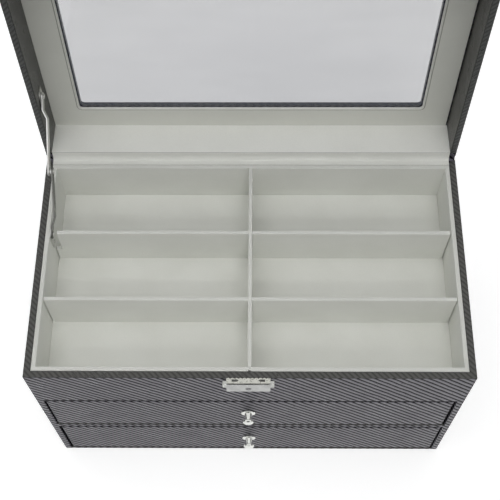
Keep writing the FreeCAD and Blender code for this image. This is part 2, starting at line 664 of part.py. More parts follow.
def make_lock():
    case = piece("lock_case")
    x = ("lock_shift - lock_width / 2", "lock_shift + lock_width / 2")
    z = ("lock_top - lock_height", "lock_top")
    board(case, x, ("lock_front", "front"), z)
    block(case, ("lock_shift - lock_inner_x", "lock_shift + lock_inner_x"), ("lock_front + lock_skin", "front"),
          ("lock_top - lock_height + lock_skin", "lock_top - lock_skin"), cut=True, name="Hollow")
    for side in (-1, 1):
        slot = "lock_shift + %d * hook_span" % side
        block(case, (slot + " - slot_length / 2", slot + " + slot_length / 2"),
              ("hook_y - slot_width / 2", "hook_y + slot_width / 2"), ("lock_top - lock_skin", "lock_top"),
              cut=True, name="HookSlot")
        rod(case, "y", ("lock_shift + %d * lock_width / 3" % side, "lock_front + lock_skin", "lock_screw_z"),
            "screw_head", "lock_depth - lock_skin", name="Boss")
        rod(case, "y", ("lock_shift + %d * lock_width / 3" % side, "lock_front + lock_skin", "lock_screw_z"),
            "screw_radius", "lock_depth - lock_skin", cut=True, name="BossHole")
    block(case, x, ("button_front - catch_gap", "button_front + button_width + catch_gap"),
          ("lock_top - lock_skin - catch_gap - button_height - catch_gap", "lock_top - lock_skin"),
          cut=True, name="ButtonWindows")
    rod(case, "y", ("lock_shift", "lock_front", "cylinder_z"), "cylinder_radius + running_gap", "lock_skin",
        cut=True, name="CylinderBore")
    cylinder = piece("lock_cylinder")
    rod(cylinder, "y", ("lock_shift", "lock_front - 0.3", "cylinder_z"), "cylinder_radius", "lock_depth - 2.2",
        name="Barrel")
    block(cylinder, ("lock_shift - cam_width / 2", "lock_shift + cam_width / 2"),
          ("lock_front + lock_depth - 2.5", "front - 0.4"),
          ("cylinder_z - cam_length / 2", "cylinder_z + cam_length / 2"), name="Cam")
    block(cylinder, ("lock_shift - keyhole_width / 2", "lock_shift + keyhole_width / 2"),
          ("lock_front - 0.3", "lock_front + 1.5"),
          ("cylinder_z - cylinder_radius * 0.7", "cylinder_z + cylinder_radius * 0.7"), cut=True, name="Keyhole")
    for side, name in ((-1, "left"), (1, "right")):
        make_button(side, name + "_release_button")
    make_spring()
    make_hasp()


def make_spring():
    """The coil spring that pushes the two catches apart."""
    spring = piece("release_spring")
    sketch = spring.newObject("Sketcher::SketchObject", "Wire")
    sketch.AttachmentSupport = [(origin_plane(spring, "XY_Plane"), "")]
    sketch.MapMode = "FlatFace"
    bind(sketch, "AttachmentOffset.Base.x", "-(spring_half - 2 * spring_wire - 0.1)")
    sketch.addGeometry(Part.Circle(FreeCAD.Vector(0, 0.9, 0), FreeCAD.Vector(0, 0, 1), 0.15))
    sketch.addConstraint(Sketcher.Constraint("PointOnObject", 0, 3, -2))
    index = sketch.addConstraint(Sketcher.Constraint("DistanceY", -1, 1, 0, 3, 0.9))
    bind(sketch, "Constraints[%d]" % index, "spring_radius")
    index = sketch.addConstraint(Sketcher.Constraint("Radius", 0, 0.15))
    bind(sketch, "Constraints[%d]" % index, "spring_wire")
    doc.recompute()
    coil = spring.newObject("PartDesign::AdditiveHelix", "Coil")
    coil.Profile = sketch
    coil.ReferenceAxis = (sketch, ["H_Axis"])
    coil.Mode = "pitch-height-angle"
    bind(coil, "Pitch", "spring_pitch")
    bind(coil, "Height", "2 * (spring_half - 2 * spring_wire - 0.1)")
    coil.Angle = 0
    sketch.Visibility = False
    bind(spring, "Placement.Base.x", "lock_shift")
    bind(spring, "Placement.Base.y", "hook_y")
    bind(spring, "Placement.Base.z", "spring_z")


def mirrored(side, low, high):
    """An x range given for the right-hand side of the lock, or its mirror."""
    if side > 0:
        return ("lock_shift + " + low, "lock_shift + " + high)
    return ("lock_shift - (%s)" % high, "lock_shift - (%s)" % low)


def make_button(side, label):
    body = piece(label)
    block(body, mirrored(side, "lock_inner_x - 1.2", "lock_width / 2 + button_out"),
          ("button_front", "button_front + button_width"),
          ("lock_top - lock_skin - catch_gap - button_height", "lock_top - lock_skin - catch_gap"), name="Button")
    plate_y = ("button_front", "front - catch_gap")
    plate_z = ("catch_z", "catch_z + catch_plate")
    block(body, mirrored(side, "spring_half", "lock_inner_x - catch_gap"), plate_y, plate_z, name="Plate")
    block(body, mirrored(side, "catch_nose", "catch_window_end"), ("hook_y - slot_width / 2", "hook_y + slot_width / 2"),
          plate_z, cut=True, name="HookWindow")
    block(body, mirrored(side, "spring_half", "spring_half + 1"),
          ("hook_y - spring_radius - spring_wire", "hook_y + spring_radius + spring_wire"),
          ("catch_z - 1.9", "catch_z"), name="SpringSeat")


def make_hasp():
    hasp = lid_piece("lock_hasp")
    bottom = "lid_rim + hasp_lift"
    face = "lid_front - hasp_thickness"
    block(hasp, ("lock_shift - lock_width / 2", "lock_shift + lock_width / 2"), (face, "lid_front"),
          (bottom, bottom + " + hasp_height"), name="Plate")
    hook_front = "lid_front - slot_out - hook_thickness / 2"
    hook_back = "lid_front - slot_out + hook_thickness / 2"
    tip = "lid_rim - hook_reach"
    for side in (-1, 1):
        neck = mirrored(side, "hook_inner + hook_barb", "hook_inner + hook_barb + hook_neck")
        block(hasp, neck, (hook_front, "lid_front"), (bottom + " + 1", bottom + " + 7"), name="HookRoot")
        block(hasp, neck, (hook_front, hook_back), (tip, bottom + " + 7"), name="HookNeck")
        block(hasp, mirrored(side, "hook_inner", "hook_inner + hook_barb + hook_neck"), (hook_front, hook_back),
              (tip, tip + " + 1.6"), name="HookBarb")
    for x in hasp_nail_places():
        rod(hasp, "y", (x, face, "lid_rim + hasp_lift + hasp_height - 3"), "screw_radius", "hasp_thickness",
            cut=True, name="NailHole")


def hasp_nail_places():
    return ["lock_shift + %d * (lock_width / 2 - 3)" % side for side in (-1, 1)]


# Screws and nails, grouped by the body that carries them


def small_screw(body, axis, head_at, sign):
    """A screw whose head's underside is at this point; sign is the way the shank points."""
    spot = "xyz".index(axis)
    shank = list(head_at)
    head = list(head_at)
    if sign < 0:
        shank[spot] += " - screw_length"
    else:
        head[spot] += " - screw_head_height"
    rod(body, axis, shank, "screw_radius - running_gap", "screw_length", name="Shank")
    rod(body, axis, head, "screw_head", "screw_head_height", name="Head")


def make_screws():
    case_screws = piece("case_screws")
    for x in hinge_screw_places():
        small_screw(case_screws, "y", (x, "back + leaf", "hinge_z - leaf_start - leaf_height / 2"), -1)
    for x in lock_screw_places():
        rod(case_screws, "y", (x, "front - 4", "lock_screw_z"), "screw_radius - running_gap",
            "wall + 4 - screw_head_height", name="Shank")
        rod(case_screws, "y", (x, "inner_front - screw_head_height", "lock_screw_z"), "screw_head - running_gap",
            "screw_head_height", name="Head")
    small_screw(case_screws, "x", ("liner_face + plate", "base_pivot_y", "base_pivot_z - nail_offset"), -1)
    lid_screws = lid_piece("lid_screws")
    for x in hinge_screw_places():
        small_screw(lid_screws, "y", (x, "lid_back + leaf", "leaf_start + leaf_height / 2"), -1)
    for along in lid_nail_places():
        rod(lid_screws, "x", ("lid_wall_face - screw_length", along, "lid_pivot_closed_z"),
            "screw_radius - running_gap", "screw_length + plate - nail_head_height", name="NailShank")
        rod(lid_screws, "x", ("lid_wall_face + plate - nail_head_height", along, "lid_pivot_closed_z"),
            "screw_head", "nail_head_height - running_gap", name="NailHead")
    for x in hasp_nail_places():
        small_screw(lid_screws, "y", (x, "lid_front - hasp_thickness", "lid_rim + hasp_lift + hasp_height - 3"), 1)


# Drawers


def make_drawer(name, floor, ceiling, front_top):
    """A drawer whose bay lies between this floor and ceiling; its front reaches up to front_top."""
    shift = name + "_shift"
    x = ("%s - drawer_x" % shift, "%s + drawer_x" % shift)
    base = "%s + drawer_slide_gap" % floor
    inside = base + " + drawer_bottom"
    side_top = ceiling + " - drawer_headroom"
    middle_z = "(%s + drawer_gap + %s) / 2 + %s_knob_rise" % (floor, front_top, name)
    front = piece(name + "_drawer_front")
    board(front, x, ("front", "drawer_cell_front"), (floor + " + drawer_gap", front_top))
    rod(front, "y", ("knob_shift", "front", middle_z), "knob_screw + running_gap", "wall", cut=True, name="KnobHole")
    rod(front, "y", ("knob_shift", "drawer_cell_front - knob_screw_seat", middle_z), "knob_screw_head + running_gap",
        "knob_screw_seat", cut=True, name="HeadSeat")
    behind = ("drawer_cell_front", "drawer_back")
    board(piece(name + "_drawer_left_side"), (x[0], x[0] + " + drawer_side"), behind, (base, side_top))
    board(piece(name + "_drawer_right_side"), (x[1] + " - drawer_side", x[1]), behind, (base, side_top))
    between = (x[0] + " + drawer_side", x[1] + " - drawer_side")
    board(piece(name + "_drawer_back"), between, ("drawer_cell_back", "drawer_back"), (base, side_top))
    board(piece(name + "_drawer_bottom"), between, ("drawer_cell_front", "drawer_cell_back"), (base, inside))
    first = "drawer_cell_front + drawer_row"
    make_dividers(name + "_drawer", (inside, side_top), "(%s + %s) / 2" % (inside, side_top), "drawer_divider",
                  ("drawer_cell_front", "drawer_cell_back"), "drawer_x - drawer_side",
                  (first, first + " + drawer_divider + drawer_row"), shift)
    make_knob(name, middle_z)


def make_knob(name, z):
    """A turned knob: foot, flare, stem and a rounded head, with its screw from inside the drawer."""
    knob = piece(name + "_drawer_knob")
    rod(knob, "y", ("knob_shift", "front - knob_foot_height", z), "knob_foot", "knob_foot_height", name="Foot")
    flare = knob.newObject("PartDesign::AdditiveCone", "Flare")
    bind(flare, "Radius1", "knob_stem")
    bind(flare, "Radius2", "knob_foot * 0.66")
    bind(flare, "Height", "knob_flare")
    flare.Placement = FreeCAD.Placement(FreeCAD.Vector(), TURNS["y"])
    for letter, text in zip("xyz", ("knob_shift", "front - knob_foot_height - knob_flare", z)):
        bind(flare, "Placement.Base." + letter, text)
    rod(knob, "y", ("knob_shift", "front - knob_head_out", z), "knob_stem", "knob_head_out", name="Stem")
    rod(knob, "y", ("knob_shift", "front - knob_head_out - knob_head_height", z), "knob_head", "knob_head_height",
        name="Head")
    doc.recompute()
    face = value("front") - value("knob_head_out") - value("knob_head_height")
    round_edges(knob, "knob_head_height * 0.55", lambda edge: is_near(edge.BoundBox.YMax, face), name="Dome")
    rod(knob, "y", ("knob_shift", "front - knob_screw_depth", z), "knob_screw + running_gap", "knob_screw_depth",
        cut=True, name="ScrewHole")
    screw = piece(name + "_drawer_knob_screw")
    rod(screw, "y", ("knob_shift", "front - knob_screw_depth", z), "knob_screw",
        "knob_screw_depth + wall - knob_screw_seat", name="Shank")
    rod(screw, "y", ("knob_shift", "drawer_cell_front - knob_screw_seat", z), "knob_screw_head",
        "knob_screw_seat - running_gap", name="Head")


make_case()
make_tray()
make_lid()
make_hinges()
make_stay()
make_lock()
make_screws()
make_drawer("upper", "shelf_top", "tray_under", "rail_bottom - drawer_gap")
make_drawer("lower", "bottom_board", "shelf_under", "shelf_under - drawer_gap")
doc.recompute()

# Every feature must have built, and every piece must hold valid solids, before any is written

for item in doc.Objects:
    if "Invalid" in item.State or "Error" in item.State:
        raise RuntimeError("failed: %s %s" % (item.Name, item.State))
for body in PIECES:
    if body.Shape.isNull() or not body.Shape.isValid() or not body.Shape.Solids:
        raise RuntimeError("not a valid solid: " + body.Label)

os.makedirs("parts", exist_ok=True)
for body in PIECES:
    body.Shape.exportStep("parts/%s.step" % body.Label)
    print(body.Label, len(body.Shape.Solids), round(body.Shape.Volume, 1))

print("pieces", len(PIECES))
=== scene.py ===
import logging
import math
from dataclasses import dataclass, field
from enum import Enum
from itertools import product
from typing import Iterable, Sequence, Union

import bmesh
import bpy
from mathutils import Matrix, Vector
from mathutils.geometry import tessellate_polygon


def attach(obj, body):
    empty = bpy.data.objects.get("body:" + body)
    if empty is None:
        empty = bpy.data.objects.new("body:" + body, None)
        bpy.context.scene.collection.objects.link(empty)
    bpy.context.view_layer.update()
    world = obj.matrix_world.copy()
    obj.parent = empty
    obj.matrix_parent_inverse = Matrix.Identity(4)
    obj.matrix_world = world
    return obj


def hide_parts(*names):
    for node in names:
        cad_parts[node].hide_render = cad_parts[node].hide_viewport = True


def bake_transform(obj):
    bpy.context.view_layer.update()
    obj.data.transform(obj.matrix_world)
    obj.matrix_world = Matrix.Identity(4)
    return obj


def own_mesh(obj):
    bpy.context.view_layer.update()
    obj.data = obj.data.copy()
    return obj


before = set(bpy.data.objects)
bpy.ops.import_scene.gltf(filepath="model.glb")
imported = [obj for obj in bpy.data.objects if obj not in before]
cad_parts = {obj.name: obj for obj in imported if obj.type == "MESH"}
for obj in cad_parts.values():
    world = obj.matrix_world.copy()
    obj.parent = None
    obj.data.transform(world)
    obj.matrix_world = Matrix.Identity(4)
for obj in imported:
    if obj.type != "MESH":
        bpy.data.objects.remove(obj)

log = logging.getLogger("glasses_box")

MM = 0.001
Point2 = tuple[float, float]
Point3 = tuple[float, float, float]
Socket = bpy.types.NodeSocket
Level = Union[Socket, float]
Feed = Union[Socket, float, Sequence[float]]
Material = bpy.types.Material
Piece = bpy.types.Object
Pressed = tuple[Point3, Material]

UP, DOWN = (0.0, 0.0, 1.0), (0.0, 0.0, -1.0)
FRONT, REAR = (0.0, -1.0, 0.0), (0.0, 1.0, 0.0)
LEFT, RIGHT = (-1.0, 0.0, 0.0), (1.0, 0.0, 0.0)
FOLD_OVER, FOLD_UNDER = (0.0, -0.33, 0.94), (0.0, -0.33, -0.94)
SIDEWAYS = (LEFT, RIGHT, FRONT, REAR)
# A face looks in a direction if the cosine between them is over this
SAME_WAY = 0.6
# Edges of the case's cover that turn outwards by more than this, in radians, are rounded
OUTER_CORNER = 0.8
EDGE_STEPS = 3
KNOB_SIDES = 48
WIRE_SIDES = 8
# The spans in which the values of a noise are spread out, softly or strongly
WIDE = (0.3, 0.7)
NARROW = (0.35, 0.65)

# The hinge's axis in millimetres, and the lid's angle at rest in degrees
HINGE_Y = 97.5
HINGE_Z = 193.0
OPEN_ANGLE = 94.1
CASE = Matrix.Identity(4)
LID = (Matrix.Translation((0, HINGE_Y * MM, HINGE_Z * MM))
       @ Matrix.Rotation(math.radians(-OPEN_ANGLE), 4, "X"))


class Body(Enum):
    """The bodies that the drawn pieces ride on."""

    BOX = "box"
    LID = "lid"
    UPPER_DRAWER = "upper_drawer"
    LOWER_DRAWER = "lower_drawer"


class Slot(Enum):
    """The record's material slots."""

    LEATHERETTE = "leatherette_board"
    LINING = "cream_lining"
    STEEL = "steel"
    BRIGHT = "chromed_metal"
    GLASS = "glass"


# Finishes


class Recipe:
    """A material or a world under construction, with short ways to add and join its nodes."""

    def __init__(self, name: str, world: bool = False) -> None:
        """Starts with the output node alone.

        Args:
            name: the material's or the world's name.
            world: whether it is a world.
        """
        self.owner = (bpy.data.worlds if world else bpy.data.materials).new(name)
        self.owner.use_nodes = True
        self.tree = self.owner.node_tree
        self.tree.nodes.clear()
        self.output = self.add("ShaderNodeOutputWorld" if world else "ShaderNodeOutputMaterial")

    def feed(self, socket: Socket, source: Feed) -> None:
        """Joins a socket to another, or sets its value.

        Args:
            socket: the input socket.
            source: what it takes.
        """
        if isinstance(source, bpy.types.NodeSocket):
            self.tree.links.new(source, socket)
        else:
            socket.default_value = source

    def add(self, kind: str, feeds: "dict[int | str, Feed] | None" = None,
            **settings: str) -> bpy.types.Node:
        """Adds a node.

        Args:
            kind: the node's type name.
            feeds: what its inputs take, by number or name.
            settings: its properties by name.

        Returns:
            The new node.
        """
        node = self.tree.nodes.new(kind)
        for key, content in settings.items():
            setattr(node, key, content)
        for key, source in (feeds or {}).items():
            self.feed(node.inputs[key], source)
        return node

    def math(self, operation: str, *terms: Level) -> Socket:
        """The result of a Math node with up to three terms."""
        return self.add("ShaderNodeMath", dict(enumerate(terms)), operation=operation).outputs[0]

    def plus(self, one: Level, two: Level) -> Socket:
        """The sum of two values."""
        return self.math("ADD", one, two)

    def times(self, one: Level, two: Level) -> Socket:
        """The product of two values."""
        return self.math("MULTIPLY", one, two)

    def mix(self, share: Level, first: Feed, second: Feed) -> Socket:
        """A blend of two colours: the first at share 0, the second at share 1."""
        feeds = {"Factor": share, 6: first, 7: second}
        return self.add("ShaderNodeMix", feeds, data_type="RGBA").outputs[2]

    def span(self, source: Level, low: float, high: float, start: float = 0.0,
             end: float = 1.0) -> Socket:
        """Maps a value from start..end to low..high and holds it there."""
        feeds = dict(enumerate((source, start, end, low, high)))
        return self.add("ShaderNodeMapRange", feeds).outputs[0]

    def noise(self, scale: float, detail: float = 2.0, stretch: Point3 = (1, 1, 1)) -> Socket:
        """Adds fractal noise on object coordinates.

        Args:
            scale: cells per metre.
            detail: octaves.
            stretch: factors along each axis, to draw the noise out.

        Returns:
            The noise value, 0 to 1.
        """
        place = self.add("ShaderNodeTexCoord").outputs["Object"]
        mapping = self.add("ShaderNodeMapping", {"Vector": place, "Scale": stretch})
        feeds = {"Vector": mapping.outputs[0], "Scale": scale, "Detail": detail}
        return self.add("ShaderNodeTexNoise", feeds).outputs["Fac"]

    def bump(self, height: Socket, distance: float, strength: float = 1.0,
             below: "Socket | None" = None) -> Socket:
        """Adds a Bump node.

        Args:
            height: the relief, 0 to 1.
            distance: its depth in metres.
            strength: how strongly it shows.
            below: the normal of a coarser relief.

        Returns:
            The bumped normal.
        """
        feeds = {"Height": height, "Distance": distance, "Strength": strength}
        if below is not None:
            feeds["Normal"] = below
        return self.add("ShaderNodeBump", feeds).outputs[0]

    def looked_at(self) -> Socket:
        """1 for the camera, reflections and what shows through glass; 0 for light on surfaces."""
        path = self.add("ShaderNodeLightPath").outputs
        seen = self.math("MAXIMUM", path["Is Camera Ray"], path["Is Glossy Ray"])
        return self.math("MAXIMUM", seen, path["Is Transmission Ray"])

    def close(self, shader: bpy.types.Node) -> "Material | bpy.types.World":
        """Joins the last shader to the output, and gives back what was built."""
        self.feed(self.output.inputs["Surface"], shader.outputs[0])
        return self.owner

    def surface(self, **inputs: Feed) -> Material:
        """Ends the recipe with a Principled shader; inputs have underscores for spaces."""
        feeds = {key.replace("_", " "): source for key, source in inputs.items()}
        return self.close(self.add("ShaderNodeBsdfPrincipled", feeds))


@dataclass(frozen=True)
class Finish:
    """A material, with the slot of the record that it stands for."""

    material: Material
    slot: Slot


@dataclass(frozen=True)
class TwillLeatherette:
    """Dark leatherette embossed as a two-over-two twill, with slanting ridges and grooves; the ridges
    are painted lighter and the grooves darker, a painted sheen and shade, and the blocks with the weft
    on top are painted darker, a painted reflection.
    """

    name: str = "twill_leatherette"
    yarn: float = 1.7 * MM
    # ridge and groove colours: painted sheen on the ridges, painted shade in the grooves
    ridge: Point3 = (0.074, 0.07, 0.085)
    groove: Point3 = (0.008, 0.0078, 0.009)
    groove_gloss: float = 0.03
    sheen: Point3 = (0.86, 0.835, 1.0)
    ridge_relief: float = 0.58 * MM
    thread_relief: float = 0.05 * MM
    threads: float = 5.0

    def make(self) -> Finish:
        """Builds the finish."""
        r = Recipe(self.name)
        wrap = r.add("ShaderNodeUVMap", uv_map="wrap").outputs[0]
        parts = r.add("ShaderNodeSeparateXYZ", {0: wrap}).outputs
        sway = r.span(r.noise(90.0), -0.22, 0.22, *WIDE)
        across = r.math("DIVIDE", parts[0], self.yarn)
        along = r.plus(r.math("DIVIDE", parts[1], self.yarn), sway)
        step = r.plus(r.math("FLOOR", across), r.math("FLOOR", along))
        # the added thousands keep the terms of both remainders above zero
        over = r.math("LESS_THAN", r.math("MODULO", r.plus(step, 4000.0), 4.0), 1.5)
        under = r.math("SUBTRACT", 1.0, over)
        warp, weft = r.math("FRACT", across), r.math("FRACT", along)

        def strands(count: float) -> Socket:
            """Round strands side by side, along whichever yarn lies on top."""
            round_warp = r.math("SINE", r.times(warp, math.pi * count))
            round_weft = r.math("SINE", r.times(weft, math.pi * count))
            return r.plus(r.times(over, round_warp), r.times(under, round_weft))

        slant = r.math("FRACT", r.plus(r.times(r.plus(across, along), 0.25), 1000.0))
        crest = r.math("POWER", r.math("SINE", r.times(slant, math.pi)), 0.75)
        patches, blotches, grain = r.noise(55.0, 3.0), r.noise(420.0), r.noise(2600.0)
        worn = r.times(r.span(patches, 0.86, 1.14, *WIDE), r.span(blotches, 0.84, 1.16, *WIDE))
        # painted sheen and shade: light on the crests, dark in the grooves, darker where the weft lies
        # on top
        lit = r.times(r.span(crest, 0.0, 1.0, 0.45, 0.9), r.span(over, 0.82, 1.0))
        shade = r.times(r.times(lit, worn), r.span(grain, 0.88, 1.12, *WIDE))
        rough = r.plus(r.span(crest, 0.42, 0.29, 0.3, 0.9), r.span(patches, -0.04, 0.06, *WIDE))
        thread_gloss = r.span(crest, self.groove_gloss, 0.7, 0.52, 0.9)
        slanted = r.bump(crest, self.ridge_relief)
        woven = r.bump(strands(1.0), self.thread_relief, 1.0, slanted)
        spun = r.bump(strands(2.0 * self.threads), 0.01 * MM, 0.5, woven)
        return Finish(r.surface(
            Base_Color=r.mix(shade, (*self.groove, 1), (*self.ridge, 1)), Roughness=rough,
            Specular_IOR_Level=r.times(thread_gloss, r.span(blotches, 0.9, 1.06, *WIDE)),
            Specular_Tint=(*self.sheen, 1),
            Normal=r.bump(grain, 0.02 * MM, 0.5, spun)), Slot.LEATHERETTE)


@dataclass(frozen=True)
class SuedeLining:
    """Cream suede cloth glued over board, with a soft nap."""

    name: str = "suede_lining"
    colour: Point3 = (0.79, 0.797, 0.755)
    shaded: Point3 = (0.755, 0.762, 0.718)
    nap: float = 0.05 * MM

    def make(self) -> Finish:
        """Builds the finish."""
        r = Recipe(self.name)
        clouds, fibres, pile = r.noise(28.0, 3.0), r.noise(3200.0, 3.0), r.noise(700.0)
        colour = r.mix(r.span(clouds, 0.0, 1.0, *NARROW), (*self.shaded, 1), (*self.colour, 1))
        feeds = {"Color": colour, "Value": r.span(fibres, 0.95, 1.04, *WIDE)}
        value = r.add("ShaderNodeHueSaturation", feeds)
        rough = r.span(pile, 0.82, 0.95, *WIDE)
        soft = r.bump(pile, self.nap, 0.5)
        return Finish(r.surface(
            Base_Color=value.outputs[0], Roughness=rough, Sheen_Weight=0.12, Sheen_Roughness=0.5,
            Specular_IOR_Level=0.25, Normal=r.bump(fibres, self.nap, 0.6, soft)), Slot.LINING)


@dataclass(frozen=True)
class PlatedMetal:
    """Plated metal, from bright chrome to brushed steel."""

    name: str
    colour: Point3
    roughness: float
    slot: Slot = Slot.BRIGHT
    brushed: bool = False

    def make(self) -> Finish:
        """Builds the finish."""
        r = Recipe(self.name)
        if self.brushed:
            lines, depth = r.noise(260.0, 3.0, (1, 30, 30)), 0.01 * MM
        else:
            lines, depth = r.noise(700.0, 3.0), 0.004 * MM
        darker = tuple(0.8 * c for c in self.colour)
        colour = r.mix(r.span(r.noise(90.0), 0.0, 1.0, *NARROW), (*darker, 1), (*self.colour, 1))
        rough = r.span(lines, self.roughness * 0.75, self.roughness * 1.4, *WIDE)
        return Finish(r.surface(Base_Color=colour, Metallic=1.0, Roughness=rough,
                                Normal=r.bump(lines, depth, 0.5)), self.slot)


@dataclass(frozen=True)
class ClearPane:
    """Thin clear glass, slightly grey, with a faint wipe mark."""

    tint: Point3 = (0.082, 0.103, 0.175)
    cover: float = 0.27

    def make(self) -> Finish:
        """Builds the finish."""
        r = Recipe("clear_pane")
        wipe = r.noise(12.0, 2.0, (1, 3, 1))
        rough = r.span(wipe, 0.03, 0.07, *NARROW)
        smears = r.span(wipe, self.cover * 0.97, self.cover * 1.03, *NARROW)
        return Finish(r.surface(Base_Color=(*self.tint, 1), Roughness=rough, Alpha=smears), Slot.GLASS)


@dataclass(frozen=True)
class StippledPlate:
    """The lock's top plate: plated metal with a pressed stipple."""

    colour: Point3 = (0.6, 0.6, 0.55)
    pit: Point3 = (0.3, 0.3, 0.27)
    grain: float = 900.0

    def make(self) -> Finish:
        """Builds the finish."""
        r = Recipe("stippled_plate")
        dots = r.noise(self.grain, 1.0)
        film = r.noise(160.0)
        darker = tuple(0.86 * c for c in self.colour)
        lit = r.mix(r.span(film, 0.0, 1.0, *NARROW), (*darker, 1), (*self.colour, 1))
        colour = r.mix(r.span(dots, 1.0, 0.0, 0.34, 0.44), lit, (*self.pit, 1))
        rough = r.span(film, 0.26, 0.4, *WIDE)
        return Finish(r.surface(Base_Color=colour, Metallic=1.0, Roughness=rough,
                                Normal=r.bump(dots, 0.05 * MM, 0.6)), Slot.BRIGHT)


class Finishes:
    """All finishes of the box, made once."""

    def __init__(self) -> None:
        """Makes the materials."""
        self.leatherette = TwillLeatherette().make()
        # name, yarn, ridge, groove, gloss of the groove, sheen, relief of the ridges
        self.flat_leatherette, self.worn_leatherette, self.seam_leatherette, self.window_edge = (
            TwillLeatherette(*row).make() for row in (
                ("pressed_leatherette", 1.1 * MM, (0.058, 0.0575, 0.053), (0.036, 0.036, 0.033), 0.42,
                 (0.94, 0.94, 0.93), 0.06 * MM),
                # painted shade: a darker twill for the faces of the lid's rims
                ("worn_leatherette", 1.1 * MM, (0.028, 0.029, 0.028), (0.021, 0.022, 0.021), 0.36,
                 (0.8, 0.82, 0.8), 0.04 * MM),
                # painted shade: a near-black twill on the folds between the rail and the drawer
                # fronts, for the shadow in their gaps
                ("seam_leatherette", 1.7 * MM, (0.014, 0.014, 0.014), (0.008, 0.008, 0.008), 0.12,
                 (0.2, 0.2, 0.2), 0.04 * MM),
                # painted light: a lighter twill for the window frame's side faces
                ("window_edge_leatherette", 1.7 * MM, (0.075, 0.075, 0.066), (0.06, 0.06, 0.053), 0.45,
                 (1.0, 1.0, 0.92), 0.04 * MM)))
        self.lining = SuedeLining().make()
        self.rim_lining, self.panel_lining, self.bright_lining, self.crease = (
            SuedeLining(*row).make() for row in (
                # painted shade: a darker cream for the tray's upward rims
                ("rim_lining", (0.7, 0.707, 0.667), (0.67, 0.677, 0.637)),
                # painted shade: a darker cream for the upright lid panel
                ("panel_lining", (0.71, 0.717, 0.665), (0.685, 0.692, 0.64)),
                # painted light: a brighter cream for the ledge and the window's rounded edge
                ("bright_lining", (0.91, 0.915, 0.87), (0.88, 0.885, 0.84)),
                # painted shadow: a dark cream for the ring round the window's raised edge
                ("crease_lining", (0.34, 0.34, 0.31), (0.3, 0.3, 0.27))))
        self.chrome, self.ears, self.dark_steel, self.brushed = (
            PlatedMetal(*row).make() for row in (
                ("bright_chrome", (0.78, 0.79, 0.76), 0.13),
                ("button_chrome", (0.54, 0.55, 0.52), 0.3),
                ("keyway_steel", (0.22, 0.22, 0.22), 0.35),
                ("brushed_face", (0.475, 0.48, 0.468), 0.34, Slot.BRIGHT, True)))
        self.steel, self.stay_steel, self.shaded_steel = (
            PlatedMetal(*row, Slot.STEEL).make() for row in (
                ("plated_steel", (0.74, 0.74, 0.72), 0.22),
                ("stay_steel", (0.8, 0.8, 0.78), 0.34),
                # painted shade: a dark steel for the stay's lower link
                ("shaded_steel", (0.21, 0.21, 0.2), 0.32)))
        self.stippled = StippledPlate().make()
        self.glass = ClearPane().make()


# Shapes: meshes in millimetres, in the frame of the case or of the shut lid


def put(name: str, data: bpy.types.ID) -> Piece:
    """Puts an object in the scene.

    Args:
        name: its name.
        data: its mesh, camera or lamp.

    Returns:
        The object.
    """
    thing = bpy.data.objects.new(name, data)
    bpy.context.scene.collection.objects.link(thing)
    return thing


def extent(node: str, place: Matrix = CASE) -> tuple[Vector, Vector]:
    """The lowest and highest corner of a CAD node in a frame, in millimetres.

    Args:
        node: the node's name.
        place: the frame, such as LID.

    Returns:
        Both corners.
    """
    back = place.inverted()
    points = [back @ v.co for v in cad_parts[node].data.vertices]
    low = Vector([min(p[i] for p in points) for i in range(3)])
    high = Vector([max(p[i] for p in points) for i in range(3)])
    return low / MM, high / MM


def rounded_outline(low: Sequence[float], high: Sequence[float], radius: float,
                    steps: int = 5) -> list[Point2]:
    """A rectangle with round corners, counter-clockwise.

    Args:
        low: its lower left corner.
        high: its upper right corner.
        radius: the corners' radius.
        steps: segments in each corner.

    Returns:
        The outline's points.
    """
    points: list[Point2] = []
    left, right = low[0] + radius, high[0] - radius
    front, rear = low[1] + radius, high[1] - radius
    corners = ((right, rear, 0), (left, rear, 90), (left, front, 180), (right, front, 270))
    for x, y, start in corners:
        for i in range(steps + 1):
            angle = math.radians(start + 90 * i / steps)
            points.append((x + radius * math.cos(angle), y + radius * math.sin(angle)))
    return points


def inset(points: Sequence[Point2], distance: float) -> list[Point2]:
    """Moves a counter-clockwise outline inwards.

    Args:
        points: the outline.
        distance: how far; it goes outwards if this is negative.

    Returns:
        The moved outline.
    """
    moved: list[Point2] = []
    count = len(points)
    for i, (x, y) in enumerate(points):
        before, after = points[i - 1], points[(i + 1) % count]
        first = Vector((x - before[0], y - before[1])).normalized()
        second = Vector((after[0] - x, after[1] - y)).normalized()
        normal = Vector((-first.y - second.y, first.x + second.x))
        stretch = distance / max(0.3, normal.length / 2)
        normal.normalize()
        moved.append((x + normal.x * stretch, y + normal.y * stretch))
    return moved


